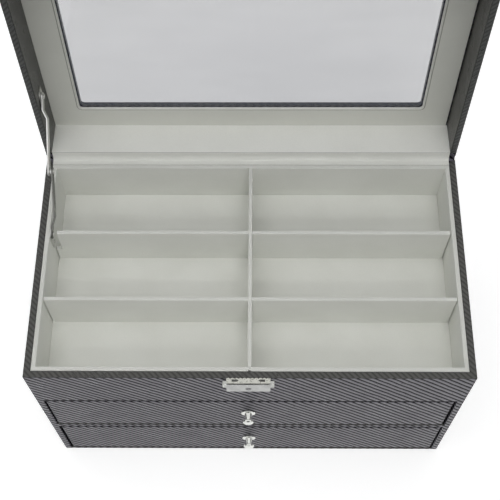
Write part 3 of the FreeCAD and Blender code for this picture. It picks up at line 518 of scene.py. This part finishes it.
@dataclass
class Shape:
    """A mesh under construction, in millimetres, in its own frame."""

    mesh: bmesh.types.BMesh = field(default_factory=bmesh.new)

    def board(self, low: Sequence[float], high: Sequence[float], radius: float,
              steps: int = EDGE_STEPS) -> "Shape":
        """Adds a board with rounded edges.

        Args:
            low: its lowest corner.
            high: its highest corner.
            radius: the edges' radius.
            steps: segments across an edge.

        Returns:
            This shape.
        """
        size = [b - a for a, b in zip(low, high)]
        middle = [(a + b) / 2 for a, b in zip(low, high)]
        made = bmesh.ops.create_cube(self.mesh, size=1.0)
        bmesh.ops.scale(self.mesh, vec=size, verts=made["verts"])
        bmesh.ops.translate(self.mesh, vec=middle, verts=made["verts"])
        edges = list({edge for vert in made["verts"] for edge in vert.link_edges})
        self._soften(edges, min(radius, min(size) * 0.45), steps)
        return self

    def joined(self, boards: Sequence[tuple[Vector, Vector]], radius: float) -> "Shape":
        """Adds boards under one seamless cover, with rounded outer edges.

        Args:
            boards: the lowest and highest corner of each board.
            radius: the edges' radius.

        Returns:
            This shape.
        """
        ends = [corner for board in boards for corner in board]
        levels = [sorted({round(corner[i], 2) for corner in ends}) for i in range(3)]
        middles = [[(a + b) / 2 for a, b in zip(level, level[1:])] for level in levels]
        filled = {cell for cell in product(*(range(len(middle)) for middle in middles))
                  if any(all(low[i] < middles[i][c] < high[i] for i, c in enumerate(cell))
                         for low, high in boards)}
        corners: dict[tuple[int, ...], bmesh.types.BMVert] = {}
        faces = []
        for cell in sorted(filled):
            for axis, side in product(range(3), (0, 1)):
                if tuple(c + (2 * side - 1) * (i == axis) for i, c in enumerate(cell)) in filled:
                    continue
                loop = []
                for one, two in ((0, 0), (1, 0), (1, 1), (0, 1)):
                    place = list(cell)
                    place[axis] += side
                    place[(axis + 1) % 3] += one
                    place[(axis + 2) % 3] += two
                    key = tuple(place)
                    if key not in corners:
                        corners[key] = self.mesh.verts.new([levels[i][c] for i, c in enumerate(key)])
                    loop.append(corners[key])
                faces.append(self.mesh.faces.new(loop if side else loop[::-1]))
        self.mesh.normal_update()
        edges = {edge for face in faces for edge in face.edges if len(edge.link_faces) == 2}
        outer = [edge for edge in edges if edge.calc_face_angle_signed() > OUTER_CORNER]
        self._soften(outer, radius, EDGE_STEPS)
        return self

    def plate(self, outer: Sequence[Point2], low: float, high: float, radius: float,
              holes: Iterable[Sequence[Point2]] = (), turn: Matrix = CASE,
              steps: int = EDGE_STEPS) -> "Shape":
        """Adds a flat plate with rounded rims from outlines, counter-clockwise, in its XY plane.

        Args:
            outer: the outline.
            low: the lower face.
            high: the upper face.
            radius: the rims' radius.
            holes: outlines of openings.
            turn: how the plate's plane is set in the frame.
            steps: segments across a rim.

        Returns:
            This shape.
        """
        turns = [math.pi / 2 * i / steps for i in range(steps + 1)]
        curve = [(radius * (1 - math.sin(t)), radius * (1 - math.cos(t))) for t in turns]
        rings = [(depth, low + rise) for depth, rise in curve]
        rings += [(depth, high - rise) for depth, rise in reversed(curve)]
        ends = []
        for outline, sign in [(outer, 1)] + [(hole, -1) for hole in holes]:
            levels = []
            for depth, z in rings:
                loop = inset(outline, sign * depth)
                levels.append([self.mesh.verts.new(turn @ Vector((x, y, z))) for x, y in loop])
            self.bridge(levels)
            ends.append((levels[0], levels[-1]))
        back = turn.inverted()
        for loops in zip(*ends):
            flat = [v for loop in loops for v in loop]
            for triangle in tessellate_polygon([[back @ v.co for v in loop] for loop in loops]):
                self.mesh.faces.new([flat[i] for i in triangle])
        return self

    def turned(self, profile: Sequence[Point2], turn: Matrix) -> "Shape":
        """Adds a turned shape about its Z axis.

        Args:
            profile: (height, radius) from one end to the other; a radius of 0 closes it.
            turn: how the Z axis is set in the frame.

        Returns:
            This shape.
        """
        rings = []
        angles = [math.tau * i / KNOB_SIDES for i in range(KNOB_SIDES)]
        for height, radius in profile:
            if radius < 1e-6:
                rings.append([self.mesh.verts.new(turn @ Vector((0, 0, height)))])
                continue
            points = [Vector((radius * math.cos(a), radius * math.sin(a), height)) for a in angles]
            rings.append([self.mesh.verts.new(turn @ p) for p in points])
        self.bridge(rings)
        return self

    def tube(self, path: Sequence[Point3], radius: float) -> "Shape":
        """Adds a wire along a path, with flat ends.

        Args:
            path: the points it runs through.
            radius: its radius.

        Returns:
            This shape.
        """
        points = [Vector(p) for p in path]
        rings = []
        side = Vector((0, 0, 1))
        angles = [math.tau * i / WIRE_SIDES for i in range(WIRE_SIDES)]
        for i, point in enumerate(points):
            ahead = points[min(i + 1, len(points) - 1)] - points[max(i - 1, 0)]
            ahead.normalize()
            side = (side - ahead * side.dot(ahead)).normalized()
            other = ahead.cross(side)
            spokes = [math.cos(a) * side + math.sin(a) * other for a in angles]
            rings.append([self.mesh.verts.new(point + radius * spoke) for spoke in spokes])
        self.bridge(rings)
        self.mesh.faces.new(list(reversed(rings[0])))
        self.mesh.faces.new(rings[-1])
        return self

    def finish(self, name: str, body: Body, finish: Finish, replaces: Sequence[str] = (),
               pressed: Sequence[Pressed] = (), sharp: float = 40.0, ride: bool = True) -> Piece:
        """Turns the shape into a piece of the box.

        Args:
            name: the piece's name.
            body: the body that it rides on.
            finish: its finish.
            replaces: CAD nodes that it stands for.
            pressed: the faces that have another material, by direction.
            sharp: edges over this angle stay sharp.
            ride: whether it rides on the body straight away.

        Returns:
            The piece.
        """
        bmesh.ops.scale(self.mesh, vec=(MM, MM, MM), verts=self.mesh.verts)
        bmesh.ops.recalc_face_normals(self.mesh, faces=self.mesh.faces)
        self._lay_wrap()
        for face in self.mesh.faces:
            for i, (way, _) in enumerate(pressed):
                if face.normal.dot(Vector(way)) > SAME_WAY:
                    face.material_index = i + 1
        mesh = bpy.data.meshes.new(name)
        self.mesh.to_mesh(mesh)
        self.mesh.free()
        mesh.shade_smooth()
        mesh.set_sharp_from_angle(angle=math.radians(sharp))
        for layer in (finish.material, *(edging for _, edging in pressed)):
            mesh.materials.append(layer)
        piece = put(name, mesh)
        piece.matrix_world = LID if body is Body.LID else CASE
        piece.modifiers.new("EvenNormals", "WEIGHTED_NORMAL").keep_sharp = True
        if ride:
            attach(piece, body.value)
        if replaces:
            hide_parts(*replaces)
        log.info("%s on %s, %d faces", name, body.value, len(mesh.polygons))
        return piece

    def bridge(self, rings: Sequence[Sequence[bmesh.types.BMVert]]) -> None:
        """Joins each ring of corners to the next with faces.

        Args:
            rings: the rings; one with a single corner is a tip.
        """
        for one, two in zip(rings, rings[1:]):
            for i in range(max(len(one), len(two))):
                j = i + 1
                loop = (one[i % len(one)], one[j % len(one)], two[j % len(two)], two[i % len(two)])
                self.mesh.faces.new(list(dict.fromkeys(loop)))

    def _soften(self, edges: Sequence[bmesh.types.BMEdge], radius: float, steps: int) -> None:
        """Rounds edges."""
        bmesh.ops.bevel(self.mesh, geom=edges, offset=radius, segments=steps, profile=0.5,
                        affect="EDGES")

    def _lay_wrap(self) -> None:
        """Lays the wrap coordinates: each face is seen straight on, one unit to the metre."""
        layer = self.mesh.loops.layers.uv.new("wrap")
        for face in self.mesh.faces:
            axis = max(range(3), key=lambda i: abs(face.normal[i]))
            u, v = ((1, 2), (0, 2), (0, 1))[axis]
            for loop in face.loops:
                loop[layer].uv = (loop.vert.co[u], loop.vert.co[v])


def towards(finish: Finish, *ways: Point3) -> list[Pressed]:
    """Gives the faces that look in some directions a finish of their own."""
    return [(way, finish.material) for way in ways]


def wrapped_board(node: str, body: Body, finish: Finish, radius: float,
                  pressed: Sequence[Pressed] = ()) -> Piece:
    """A covered board in the place of a CAD board.

    Args:
        node: the CAD node it stands for.
        body: the body that it rides on.
        finish: its finish.
        radius: how round the cover makes the edges.
        pressed: the faces that have another material, by direction.

    Returns:
        The piece.
    """
    shape = Shape().board(*extent(node, LID if body is Body.LID else CASE), radius)
    return shape.finish(node + "_cover", body, finish, (node,), pressed)


def dress_node(node: str, finish: Finish, soften: float = 0.0) -> None:
    """Gives a CAD node its finish and, if asked, softer edges.

    Args:
        node: the node's name.
        finish: its finish.
        soften: the width of the softened edges in millimetres.
    """
    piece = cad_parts[node]
    piece.data.materials.clear()
    piece.data.materials.append(finish.material)
    if soften:
        piece.modifiers.new("Weld", "WELD").merge_threshold = 1e-6
        bevel = piece.modifiers.new("SoftEdges", "BEVEL")
        bevel.width = soften * MM
        bevel.segments = 2
        bevel.limit_method = "ANGLE"
        bevel.angle_limit = math.radians(50)
    log.info("%s keeps its CAD shape", node)


# Sub-assemblies


@dataclass
class Carcass:
    """The case: boards wrapped in leatherette."""

    finishes: Finishes
    edge: float = 0.8

    def build(self) -> None:
        """Builds the boards; one cover runs over the sides, the rail, the shelf and the bottom."""
        nodes = ("left_side_board", "right_side_board", "front_rail", "drawer_shelf", "bottom_board")
        shell = Shape().joined([extent(node) for node in nodes], self.edge)
        flat = towards(self.finishes.flat_leatherette, UP)
        # the rail's folds underneath take a near-black twill: painted shade
        shell.finish("case_shell_cover", Body.BOX, self.finishes.leatherette, nodes,
                     flat + towards(self.finishes.seam_leatherette, FOLD_UNDER))
        wrapped_board("back_board", Body.BOX, self.finishes.leatherette, self.edge, flat)
        wrapped_board("tray_floor_board", Body.BOX, self.finishes.lining, 0.3)


@dataclass
class Tray:
    """The lined tray: four wall liners, a floor lining and three dividers, halved where they cross."""

    finishes: Finishes
    rim_radius: float = 0.6
    divider_radius: float = 0.4
    nick_width: float = 2.0
    nick_depth: float = 1.0
    play: float = 0.1
    notch_end: float = -155.4
    notch_floor: float = 165.0

    def __post_init__(self) -> None:
        """Sets the rims' painted shade: a darker cream on their upward faces."""
        self.rim = towards(self.finishes.rim_lining, UP)

    def build(self) -> None:
        """Builds and dresses the tray."""
        self.wall_liners()
        wrapped_board("tray_floor_lining", Body.BOX, self.finishes.lining, 0.3)
        self.long_divider()
        self.cross_divider("tray_front_divider", False)
        self.cross_divider("tray_rear_divider", True)

    def wall_liners(self) -> None:
        """The four liners under one cloth, with a small nick in the front rim behind the lock."""
        front, rear = extent("front_liner"), extent("rear_liner")
        left, right = extent("left_liner"), extent("right_liner")
        nick, depth = self.nick_width / 2, self.nick_depth
        y = front[0].y
        outline = [(rear[1].x, rear[1].y), (rear[0].x, rear[1].y), (front[0].x, y), (-nick, y),
                   (-nick, y + depth), (nick, y + depth), (nick, y), (front[1].x, y)]
        inside = [(right[0].x, rear[0].y), (left[1].x, rear[0].y), (left[1].x, front[1].y),
                  (right[0].x, front[1].y)]
        shape = Shape().plate(outline, front[0].z, front[1].z, self.rim_radius, [inside])
        shape.finish("tray_wall_cover", Body.BOX, self.finishes.lining,
                     ("front_liner", "rear_liner", "left_liner", "right_liner"), self.rim)

    def long_divider(self) -> None:
        """The divider that runs from front to back over the two others."""
        low, high = extent("tray_long_divider")
        lap = (low.z + high.z) / 2
        outline = [(low.y, low.z)]
        for node in ("tray_front_divider", "tray_rear_divider"):
            crossing = extent(node)
            start, end = crossing[0].y - self.play, crossing[1].y + self.play
            outline += [(start, low.z), (start, lap), (end, lap), (end, low.z)]
        outline += [(high.y, low.z), (high.y, high.z), (low.y, high.z)]
        turn = Matrix(((0, 0, 1, 0), (1, 0, 0, 0), (0, 1, 0, 0), (0, 0, 0, 1)))
        shape = Shape().plate(outline, low.x, high.x, self.divider_radius, turn=turn)
        shape.finish("tray_long_divider_cover", Body.BOX, self.finishes.lining, ("tray_long_divider",),
                     self.rim)

    def cross_divider(self, node: str, notched: bool) -> None:
        """A divider from side to side, open from above where the long one crosses.

        Args:
            node: the CAD node it stands for.
            notched: whether its left end is cut back for the stay.
        """
        low, high = extent(node)
        crossing = extent("tray_long_divider")
        start, end = crossing[0].x - self.play, crossing[1].x + self.play
        lap = (low.z + high.z) / 2
        outline = [(low.x, low.z), (high.x, low.z), (high.x, high.z), (end, high.z), (end, lap),
                   (start, lap), (start, high.z)]
        if notched:
            outline += [(self.notch_end, high.z), (self.notch_end, self.notch_floor),
                        (low.x, self.notch_floor)]
        else:
            outline.append((low.x, high.z))
        turn = Matrix(((1, 0, 0, 0), (0, 0, -1, 0), (0, 1, 0, 0), (0, 0, 0, 1)))
        shape = Shape().plate(outline, -high.y, -low.y, self.divider_radius, turn=turn)
        shape.finish(node + "_cover", Body.BOX, self.finishes.lining, (node,), self.rim)


@dataclass
class Lid:
    """The lid: wrapped boards, a window frame with its pane, and the cream lining."""

    finishes: Finishes
    edge: float = 0.7
    window_low: Point2 = (-139.7, -165.6)
    window_high: Point2 = (139.7, -29.4)
    window_corner: float = 2.6
    lip: float = 1.2
    bead: float = 0.25
    ridge_width: float = 1.4
    ridge_rise: float = 0.2
    # the width, lap and sinking of the painted shadow ring round the window's raised edge
    crease_width: float = 0.7
    crease_lap: float = 0.5
    crease_sunk: float = 0.15
    play: float = 0.02

    def build(self) -> None:
        """Builds and dresses the lid."""
        for node, inward in (("lid_left_board", RIGHT), ("lid_right_board", LEFT),
                             ("lid_rear_board", DOWN), ("lid_front_board", DOWN)):
            pressed = towards(self.finishes.flat_leatherette, inward)
            # the rims' faces take a darker twill: painted shade
            pressed += towards(self.finishes.worn_leatherette, DOWN)
            wrapped_board(node, Body.LID, self.finishes.leatherette, self.edge, pressed)
        self.window_frame()
        self.lining_panel()
        self.pane()
        # the ledge's upward face takes a brighter cream: painted light
        wrapped_board("lid_rear_lining", Body.LID, self.finishes.lining, 0.15,
                      towards(self.finishes.bright_lining, FRONT))

    def window_frame(self) -> None:
        """The outer board with the window cut through it; its side faces take a lighter twill, a
        painted highlight.
        """
        low, high = extent("window_frame_board", LID)
        outer = rounded_outline(low, high, 0.8)
        hole = rounded_outline(self.window_low, self.window_high, self.window_corner)
        shape = Shape().plate(outer, low.z, high.z, self.edge, [hole])
        shape.finish("window_frame_cover", Body.LID, self.finishes.leatherette,
                     ("window_frame_board",), towards(self.finishes.window_edge, *SIDEWAYS))

    def lining_panel(self) -> None:
        """The cream panel inside, with a rounded edge round the window whose sides take a brighter
        cream, a painted highlight.
        """
        low, high = extent("lid_lining_panel", LID)
        left_board_inside = extent("lid_left_board", LID)[1].x
        outer = rounded_outline((left_board_inside + self.play, low.y), high, 0.5, 2)
        hole = rounded_outline([v - self.lip for v in self.window_low],
                               [v + self.lip for v in self.window_high], self.window_corner)
        behind = inset(hole, -self.ridge_width - self.crease_width)
        shape = Shape().plate(outer, low.z, high.z, 0.3, [behind])
        ridge = inset(hole, -self.ridge_width)
        shape.plate(ridge, low.z - self.ridge_rise, high.z, self.bead, [hole], steps=4)
        # the panel takes a darker cream: painted shade
        shape.finish("lid_lining_panel_cover", Body.LID, self.finishes.panel_lining,
                     ("lid_lining_panel",), towards(self.finishes.bright_lining, *SIDEWAYS))
        # a dark ring round the raised edge: a painted shadow line
        crease = Shape().plate(inset(behind, -self.crease_lap), low.z + self.crease_sunk, high.z - 0.1,
                               0.02, [inset(hole, -self.ridge_width / 2)], steps=1)
        crease.finish("window_crease_cloth", Body.LID, self.finishes.crease)

    def pane(self) -> None:
        """The glass pane, with softly ground edges."""
        low, high = extent("window_pane", LID)
        shape = Shape().plate(rounded_outline(low, high, 1.0, 3), low.z, high.z, 0.25, steps=2)
        shape.finish("window_pane_glass", Body.LID, self.finishes.glass, ("window_pane",))


@dataclass
class HingeCloth:
    """The cloth that covers both rear rims and the hinge line: cream, with leatherette at its ends."""

    finishes: Finishes
    thickness: float = 0.36
    half_length: float = 164.5
    outer_end: float = 169.3
    proud: float = 0.12
    lead: float = 2.2
    bend_steps: int = 8
    rim_points: tuple[Point2, ...] = ((0.1, -0.02), (2.0, 0.0), (4.0, 0.0))
    lid_points: Point3 = (1.5, 3.2, 0.3)
    column: float = 8.0

    def build(self) -> None:
        """Builds the strip over the hinge line, shaped for the lid at its resting angle."""
        low, high = extent("rear_rim_lining")
        lid_low, lid_high = extent("lid_rim_lining", LID)
        path = [(low.y + y, high.z + z) for y, z in self.rim_points]
        lid_path = []
        near, middle, far = self.lid_points
        for y in (lid_high.y - near, lid_high.y - middle, lid_low.y + far):
            world = LID @ (Vector((0, y, lid_low.z - self.proud)) * MM) / MM
            lid_path.append((world.y, world.z))
        first, last = Vector(path[-1]), Vector(lid_path[0])
        lead = Vector((self.lead, 0.0))
        lead_out = (Vector(lid_path[1]) - last).normalized() * -self.lead
        for i in range(1, self.bend_steps):
            t = i / self.bend_steps
            a, b = first.lerp(first + lead, t), (last + lead_out).lerp(last, t)
            point = a.lerp(b, t * t * (3 - 2 * t))
            path.append((point.x, point.y))
        path += lid_path
        cream, dark = self.finishes.lining, self.finishes.leatherette
        pieces = (("hinge_cloth", -self.half_length, self.half_length, cream,
                   ("rear_rim_lining", "lid_rim_lining")),
                  ("left_hinge_cover", -self.outer_end, -self.half_length, dark, ()),
                  ("right_hinge_cover", self.half_length, self.outer_end, dark, ()))
        for name, start, end, finish, replaces in pieces:
            shape = Shape()
            self._strip(shape, path, start, end)
            piece = shape.finish(name, Body.BOX, finish, replaces, ride=False)
            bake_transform(piece)

    def _strip(self, shape: Shape, path: Sequence[Point2], start: float, end: float) -> None:
        """Sweeps the cloth's thin section from one x to another.

        Args:
            shape: the shape it is added to.
            path: the cloth's outer face, as (y, z) points.
            start: where it starts.
            end: where it ends.
        """
        points = [Vector(p) for p in path]
        backs = []
        for i, point in enumerate(points):
            ahead = (points[min(i + 1, len(points) - 1)] - points[max(i - 1, 0)]).normalized()
            backs.append(point - Vector((-ahead.y, ahead.x)) * self.thickness)
        loop = points + list(reversed(backs))
        count = max(2, round((end - start) / self.column))
        columns = [start + (end - start) * i / count for i in range(count + 1)]
        rows = [[shape.mesh.verts.new((x, p.x, p.y)) for p in loop] for x in columns]
        shape.bridge(rows)
        shape.mesh.faces.new(rows[0])
        shape.mesh.faces.new(list(reversed(rows[-1])))


@dataclass
class DrawerBox:
    """A drawer: a wrapped front, a lined box with six cells, and a turned knob."""

    finishes: Finishes
    body: Body
    front_edge: float = 2.9
    knob_x: float = -1.6
    knob_profile: tuple[Point2, ...] = (
        (0.02, 0.0), (0.02, 5.6), (0.12, 5.85), (0.4, 5.9), (0.72, 5.76), (0.9, 5.2), (0.98, 4.2),
        (1.05, 3.1), (1.3, 2.95), (6.2, 1.85), (6.4, 2.3), (6.5, 3.0), (6.65, 3.9), (6.9, 4.5),
        (7.2, 4.65), (8.35, 4.4), (9.2, 3.5), (9.45, 2.9), (9.62, 1.6), (9.66, 0.0))

    def build(self) -> None:
        """Builds and dresses the drawer."""
        name = self.body.value + "_"
        # the front's folds take a near-black twill: painted shade
        wrapped_board(name + "front", self.body, self.finishes.leatherette, self.front_edge,
                      towards(self.finishes.seam_leatherette, FOLD_OVER, FOLD_UNDER))
        for node in ("left_side", "right_side", "back", "bottom"):
            wrapped_board(name + node, self.body, self.finishes.lining, 0.5)
        for node in ("long_divider", "cross_dividers"):
            dress_node(name + node, self.finishes.lining, 0.4)
        dress_node(name + "knob_screw", self.finishes.steel)
        low, high = extent(name + "knob")
        foot = Matrix.Translation((self.knob_x, high.y, (low.z + high.z) / 2))
        shape = Shape().turned(self.knob_profile, foot @ Matrix.Rotation(math.pi / 2, 4, "X"))
        shape.finish(name + "knob_turned", self.body, self.finishes.chrome, (name + "knob",), sharp=24)


@dataclass
class LockSet:
    """The lock on the front rail, its release buttons, key cylinder and the hasp on the lid."""

    finishes: Finishes
    middle: float = -0.8
    width: float = 33.0
    face: float = -101.6
    rail: float = -96.0
    top: float = 192.6
    height: float = 15.0
    skin: float = 0.8
    fold: float = 0.45
    groove: float = 0.7
    slot_middle: float = 9.9
    slot_half: float = 2.5
    slot_deep: float = 0.85
    slot_point: float = 1.3
    slot_y: float = -98.05
    scallops: int = 11
    scallop: float = 0.7
    scallop_steps: int = 6
    ledge: float = 0.3
    play: float = 0.2
    plate_depths: Point2 = (0.28, 0.02)
    spring_sides: int = 16
    spring_radius: float = 0.9
    spring_wire: float = 0.15
    spring_pitch: float = 0.9
    spring_keep: float = 0.5

    def build(self) -> None:
        """Builds and dresses the lock."""
        self.case()
        for node in ("left_release_button", "right_release_button"):
            dress_node(node, self.finishes.ears, 0.9)
        dress_node("lock_cylinder", self.finishes.dark_steel, 0.15)
        dress_node("lock_hasp", self.finishes.chrome, 0.2)
        self.spring()

    def spring(self) -> None:
        """The spring between the catches, in two halves."""
        low, high = extent("release_spring")
        middle, half = (low + high) / 2, (high.x - low.x) / 2 - self.spring_wire
        count = round(half / self.spring_pitch * self.spring_sides)
        for side, joint, name in ((-1, "left_button_press", "left_spring_half"),
                                  (1, "right_button_press", "right_spring_half")):
            path = []
            for i in range(count + 1):
                angle = math.tau * i / self.spring_sides
                path.append((middle.x + side * half * i / count,
                             middle.y + self.spring_radius * math.sin(angle) * side,
                             middle.z + self.spring_radius * math.cos(angle)))
            coil = Shape().tube(path, self.spring_wire)
            replaced = ("release_spring",) if side < 0 else ()
            piece = coil.finish(name, Body.BOX, self.finishes.steel, replaced)
            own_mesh(piece)

    def slot_outline(self, side: int) -> list[Point2]:
        """The outline of a hook slot, pointed towards the lock's middle.

        Args:
            side: -1 for the left slot, 1 for the right.

        Returns:
            The outline, counter-clockwise.
        """
        x, y, deep = self.middle + side * self.slot_middle, self.slot_y, self.slot_deep
        half = side * self.slot_half
        shoulder = x - half + side * self.slot_point
        outline = [(x - half, y), (shoulder, y - deep), (x + half, y - deep), (x + half, y + deep),
                   (shoulder, y + deep)]
        return outline if side > 0 else outline[3::-1] + outline[4:]

    def case(self) -> None:
        """A folded front and sides, a floor, and a stippled top plate with a scalloped back edge."""
        left, right = self.middle - self.width / 2, self.middle + self.width / 2
        inner_left, inner_right = left + self.skin, right - self.skin
        bottom = self.top - self.height
        inner_face = self.face + self.fold
        fold = [(left, self.rail), (left, self.face), (right, self.face), (right, self.rail),
                (inner_right, self.rail), (inner_right, inner_face), (inner_left, inner_face),
                (inner_left, self.rail)]
        shape = Shape().plate(fold, bottom, self.top - self.ledge, 0.18, steps=2)
        shape.board((left + self.play, self.face + self.play, bottom + self.play / 2),
                    (right - self.play, self.rail, bottom + self.skin), 0.15, 2)
        shape.finish("lock_case_shell", Body.BOX, self.finishes.brushed, ("lock_case",))
        front = inner_face + self.groove
        ledge = front + self.ledge
        outline = [(inner_left, front), (inner_right, front), (inner_right, ledge), (right, ledge)]
        count = self.scallops * self.scallop_steps
        valley = self.rail + self.play / 2 - self.scallop
        for i in range(count + 1):
            share = i / count
            wave = abs(math.sin(math.pi * self.scallops * share)) * self.scallop
            outline.append((right - share * self.width, valley + wave))
        outline += [(left, ledge), (inner_left, ledge)]
        low, high = (self.top - depth for depth in self.plate_depths)
        slots = [self.slot_outline(-1), self.slot_outline(1)]
        plate = Shape().plate(outline, low, high, 0.1, slots, steps=2)
        plate.finish("lock_top_plate", Body.BOX, self.finishes.stippled)


@dataclass
class Hardware:
    """Hinges, lid stay and small screws: CAD shapes with metal finishes."""

    finishes: Finishes

    def build(self) -> None:
        """Dresses the metal pieces."""
        steel, stay, shaded = self.finishes.steel, self.finishes.stay_steel, self.finishes.shaded_steel
        for finish, soften, nodes in (
                (steel, 0.12, ("base_hinge_leaves", "lid_hinge_leaves")),
                (stay, 0.25,
                 ("stay_base_plate", "stay_lid_plate", "stay_elbow_rivet", "stay_upper_link")),
                (shaded, 0.15, ("stay_lower_link",)),
                (steel, 0.0, ("hinge_pins", "case_screws", "lid_screws"))):
            for node in nodes:
                dress_node(node, finish, soften)


# Studio


@dataclass
class Studio:
    """Camera, lamps, floor, background and the dark cards for the metal's reflections."""

    focal_px: float = 995.3
    frame_px: float = 500.0
    eye: Point3 = (6.5, -346.2, 897.4)
    pitch: float = 63.13
    yaw: float = 1.07
    roll: float = 0.86
    sensor: float = 36.0
    ambient: float = 0.375
    floor_glow: float = 0.56
    card_aim: Point3 = (0.0, -0.1, 0.1)
    lamp_set: tuple[tuple[str, Point3, Point3, float, float, float], ...] = (
        ("overhead", (-0.1, 0.0, 1.7), (0.0, 0.0, 0.1), 1.4, 8.2, 180.0),
        ("front_beam", (0.1, -1.2, 1.4), (-0.02, -0.08, 0.1), 0.5, 0.24, 30.0))
    card_set: tuple[tuple[str, Point3, float], ...] = (
        ("front_card", (0.0, -0.63, 0.33), 0.2),
        ("left_card", (-0.26, -0.17, 0.13), 0.08),
        ("right_card", (0.26, -0.17, 0.13), 0.08))

    def build(self) -> None:
        """Builds the studio."""
        self.camera()
        self.floor()
        self.world()
        self.lamps()
        self.dark_cards()

    def camera(self) -> None:
        """The camera at the photograph's viewing angle."""
        data = bpy.data.cameras.new("camera")
        data.sensor_width = self.sensor
        data.lens = self.focal_px / self.frame_px * self.sensor
        data.clip_end = 30.0
        view = put("camera", data)
        pitch, yaw, roll = (math.radians(a) for a in (self.pitch, self.yaw, self.roll))
        right = Vector((math.cos(yaw), math.sin(yaw), 0))
        level = Vector((-math.sin(yaw), math.cos(yaw), 0))
        ahead = level * math.cos(pitch) + Vector((0, 0, -1)) * math.sin(pitch)
        down = ahead.cross(right)
        right_rolled = right * math.cos(roll) + down * math.sin(roll)
        down_rolled = down * math.cos(roll) - right * math.sin(roll)
        axes = Matrix((right_rolled, -down_rolled, -ahead)).transposed().to_4x4()
        view.matrix_world = Matrix.Translation(Vector(self.eye) * MM) @ axes
        bpy.context.scene.camera = view

    @staticmethod
    def sheet(name: str, half: float, material: Material) -> Piece:
        """Makes a flat square.

        Args:
            name: its name.
            half: half its width in metres.
            material: its material.

        Returns:
            The square.
        """
        mesh = bpy.data.meshes.new(name)
        draft = bmesh.new()
        bmesh.ops.create_grid(draft, x_segments=1, y_segments=1, size=half)
        draft.to_mesh(mesh)
        draft.free()
        mesh.materials.append(material)
        return put(name, mesh)

    @staticmethod
    def aim(thing: Piece, place: Point3, target: Point3) -> None:
        """Sets a thing in its place, with its face towards a target."""
        thing.location = place
        thing.rotation_euler = (Vector(target) - Vector(place)).to_track_quat("-Z", "Y").to_euler()

    def floor(self) -> None:
        """A pale floor that keeps the box's shadow."""
        r = Recipe("pale_floor")
        diffuse = r.add("ShaderNodeBsdfDiffuse", {"Color": (0.8, 0.8, 0.8, 1)})
        glow = r.add("ShaderNodeEmission", {"Strength": r.times(r.looked_at(), self.floor_glow)})
        both = r.add("ShaderNodeAddShader", {0: diffuse.outputs[0], 1: glow.outputs[0]})
        piece = self.sheet("floor", 4.0, r.close(both))
        piece.location = (0, 0, -0.0002)

    def dark_cards(self) -> None:
        """Dark cards in front of the box, that only show in the bright metal."""
        r = Recipe("dark_card")
        black = r.close(r.add("ShaderNodeBsdfDiffuse", {"Color": (0.01, 0.01, 0.01, 1)}))
        for name, place, half in self.card_set:
            piece = self.sheet(name, half, black)
            self.aim(piece, place, self.card_aim)
            piece.visible_camera = piece.visible_diffuse = piece.visible_shadow = False

    def world(self) -> None:
        """A plain white background with even light."""
        r = Recipe("studio", world=True)
        strength = r.span(r.looked_at(), self.ambient, 1.0)
        feeds = {"Color": (1, 1, 1, 1), "Strength": strength}
        bpy.context.scene.world = r.close(r.add("ShaderNodeBackground", feeds))

    def lamps(self) -> None:
        """One large soft lamp overhead and a weaker one in front."""
        for name, place, target, size, power, spread in self.lamp_set:
            data = bpy.data.lights.new(name, "AREA")
            data.shape = "SQUARE"
            data.size = size
            data.energy = power
            data.spread = math.radians(spread)
            lamp = put(name, data)
            self.aim(lamp, place, target)
            lamp.visible_glossy = False


def main() -> None:
    """Builds every sub-assembly in order."""
    logging.basicConfig(level=logging.INFO, format="%(name)s: %(message)s")
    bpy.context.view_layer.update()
    finishes = Finishes()
    Carcass(finishes).build()
    Tray(finishes).build()
    Lid(finishes).build()
    HingeCloth(finishes).build()
    DrawerBox(finishes, Body.UPPER_DRAWER).build()
    DrawerBox(finishes, Body.LOWER_DRAWER).build()
    LockSet(finishes).build()
    Hardware(finishes).build()
    Studio().build()
    bpy.context.scene.view_settings.view_transform = "Standard"


if __name__ == "__main__":
    main()
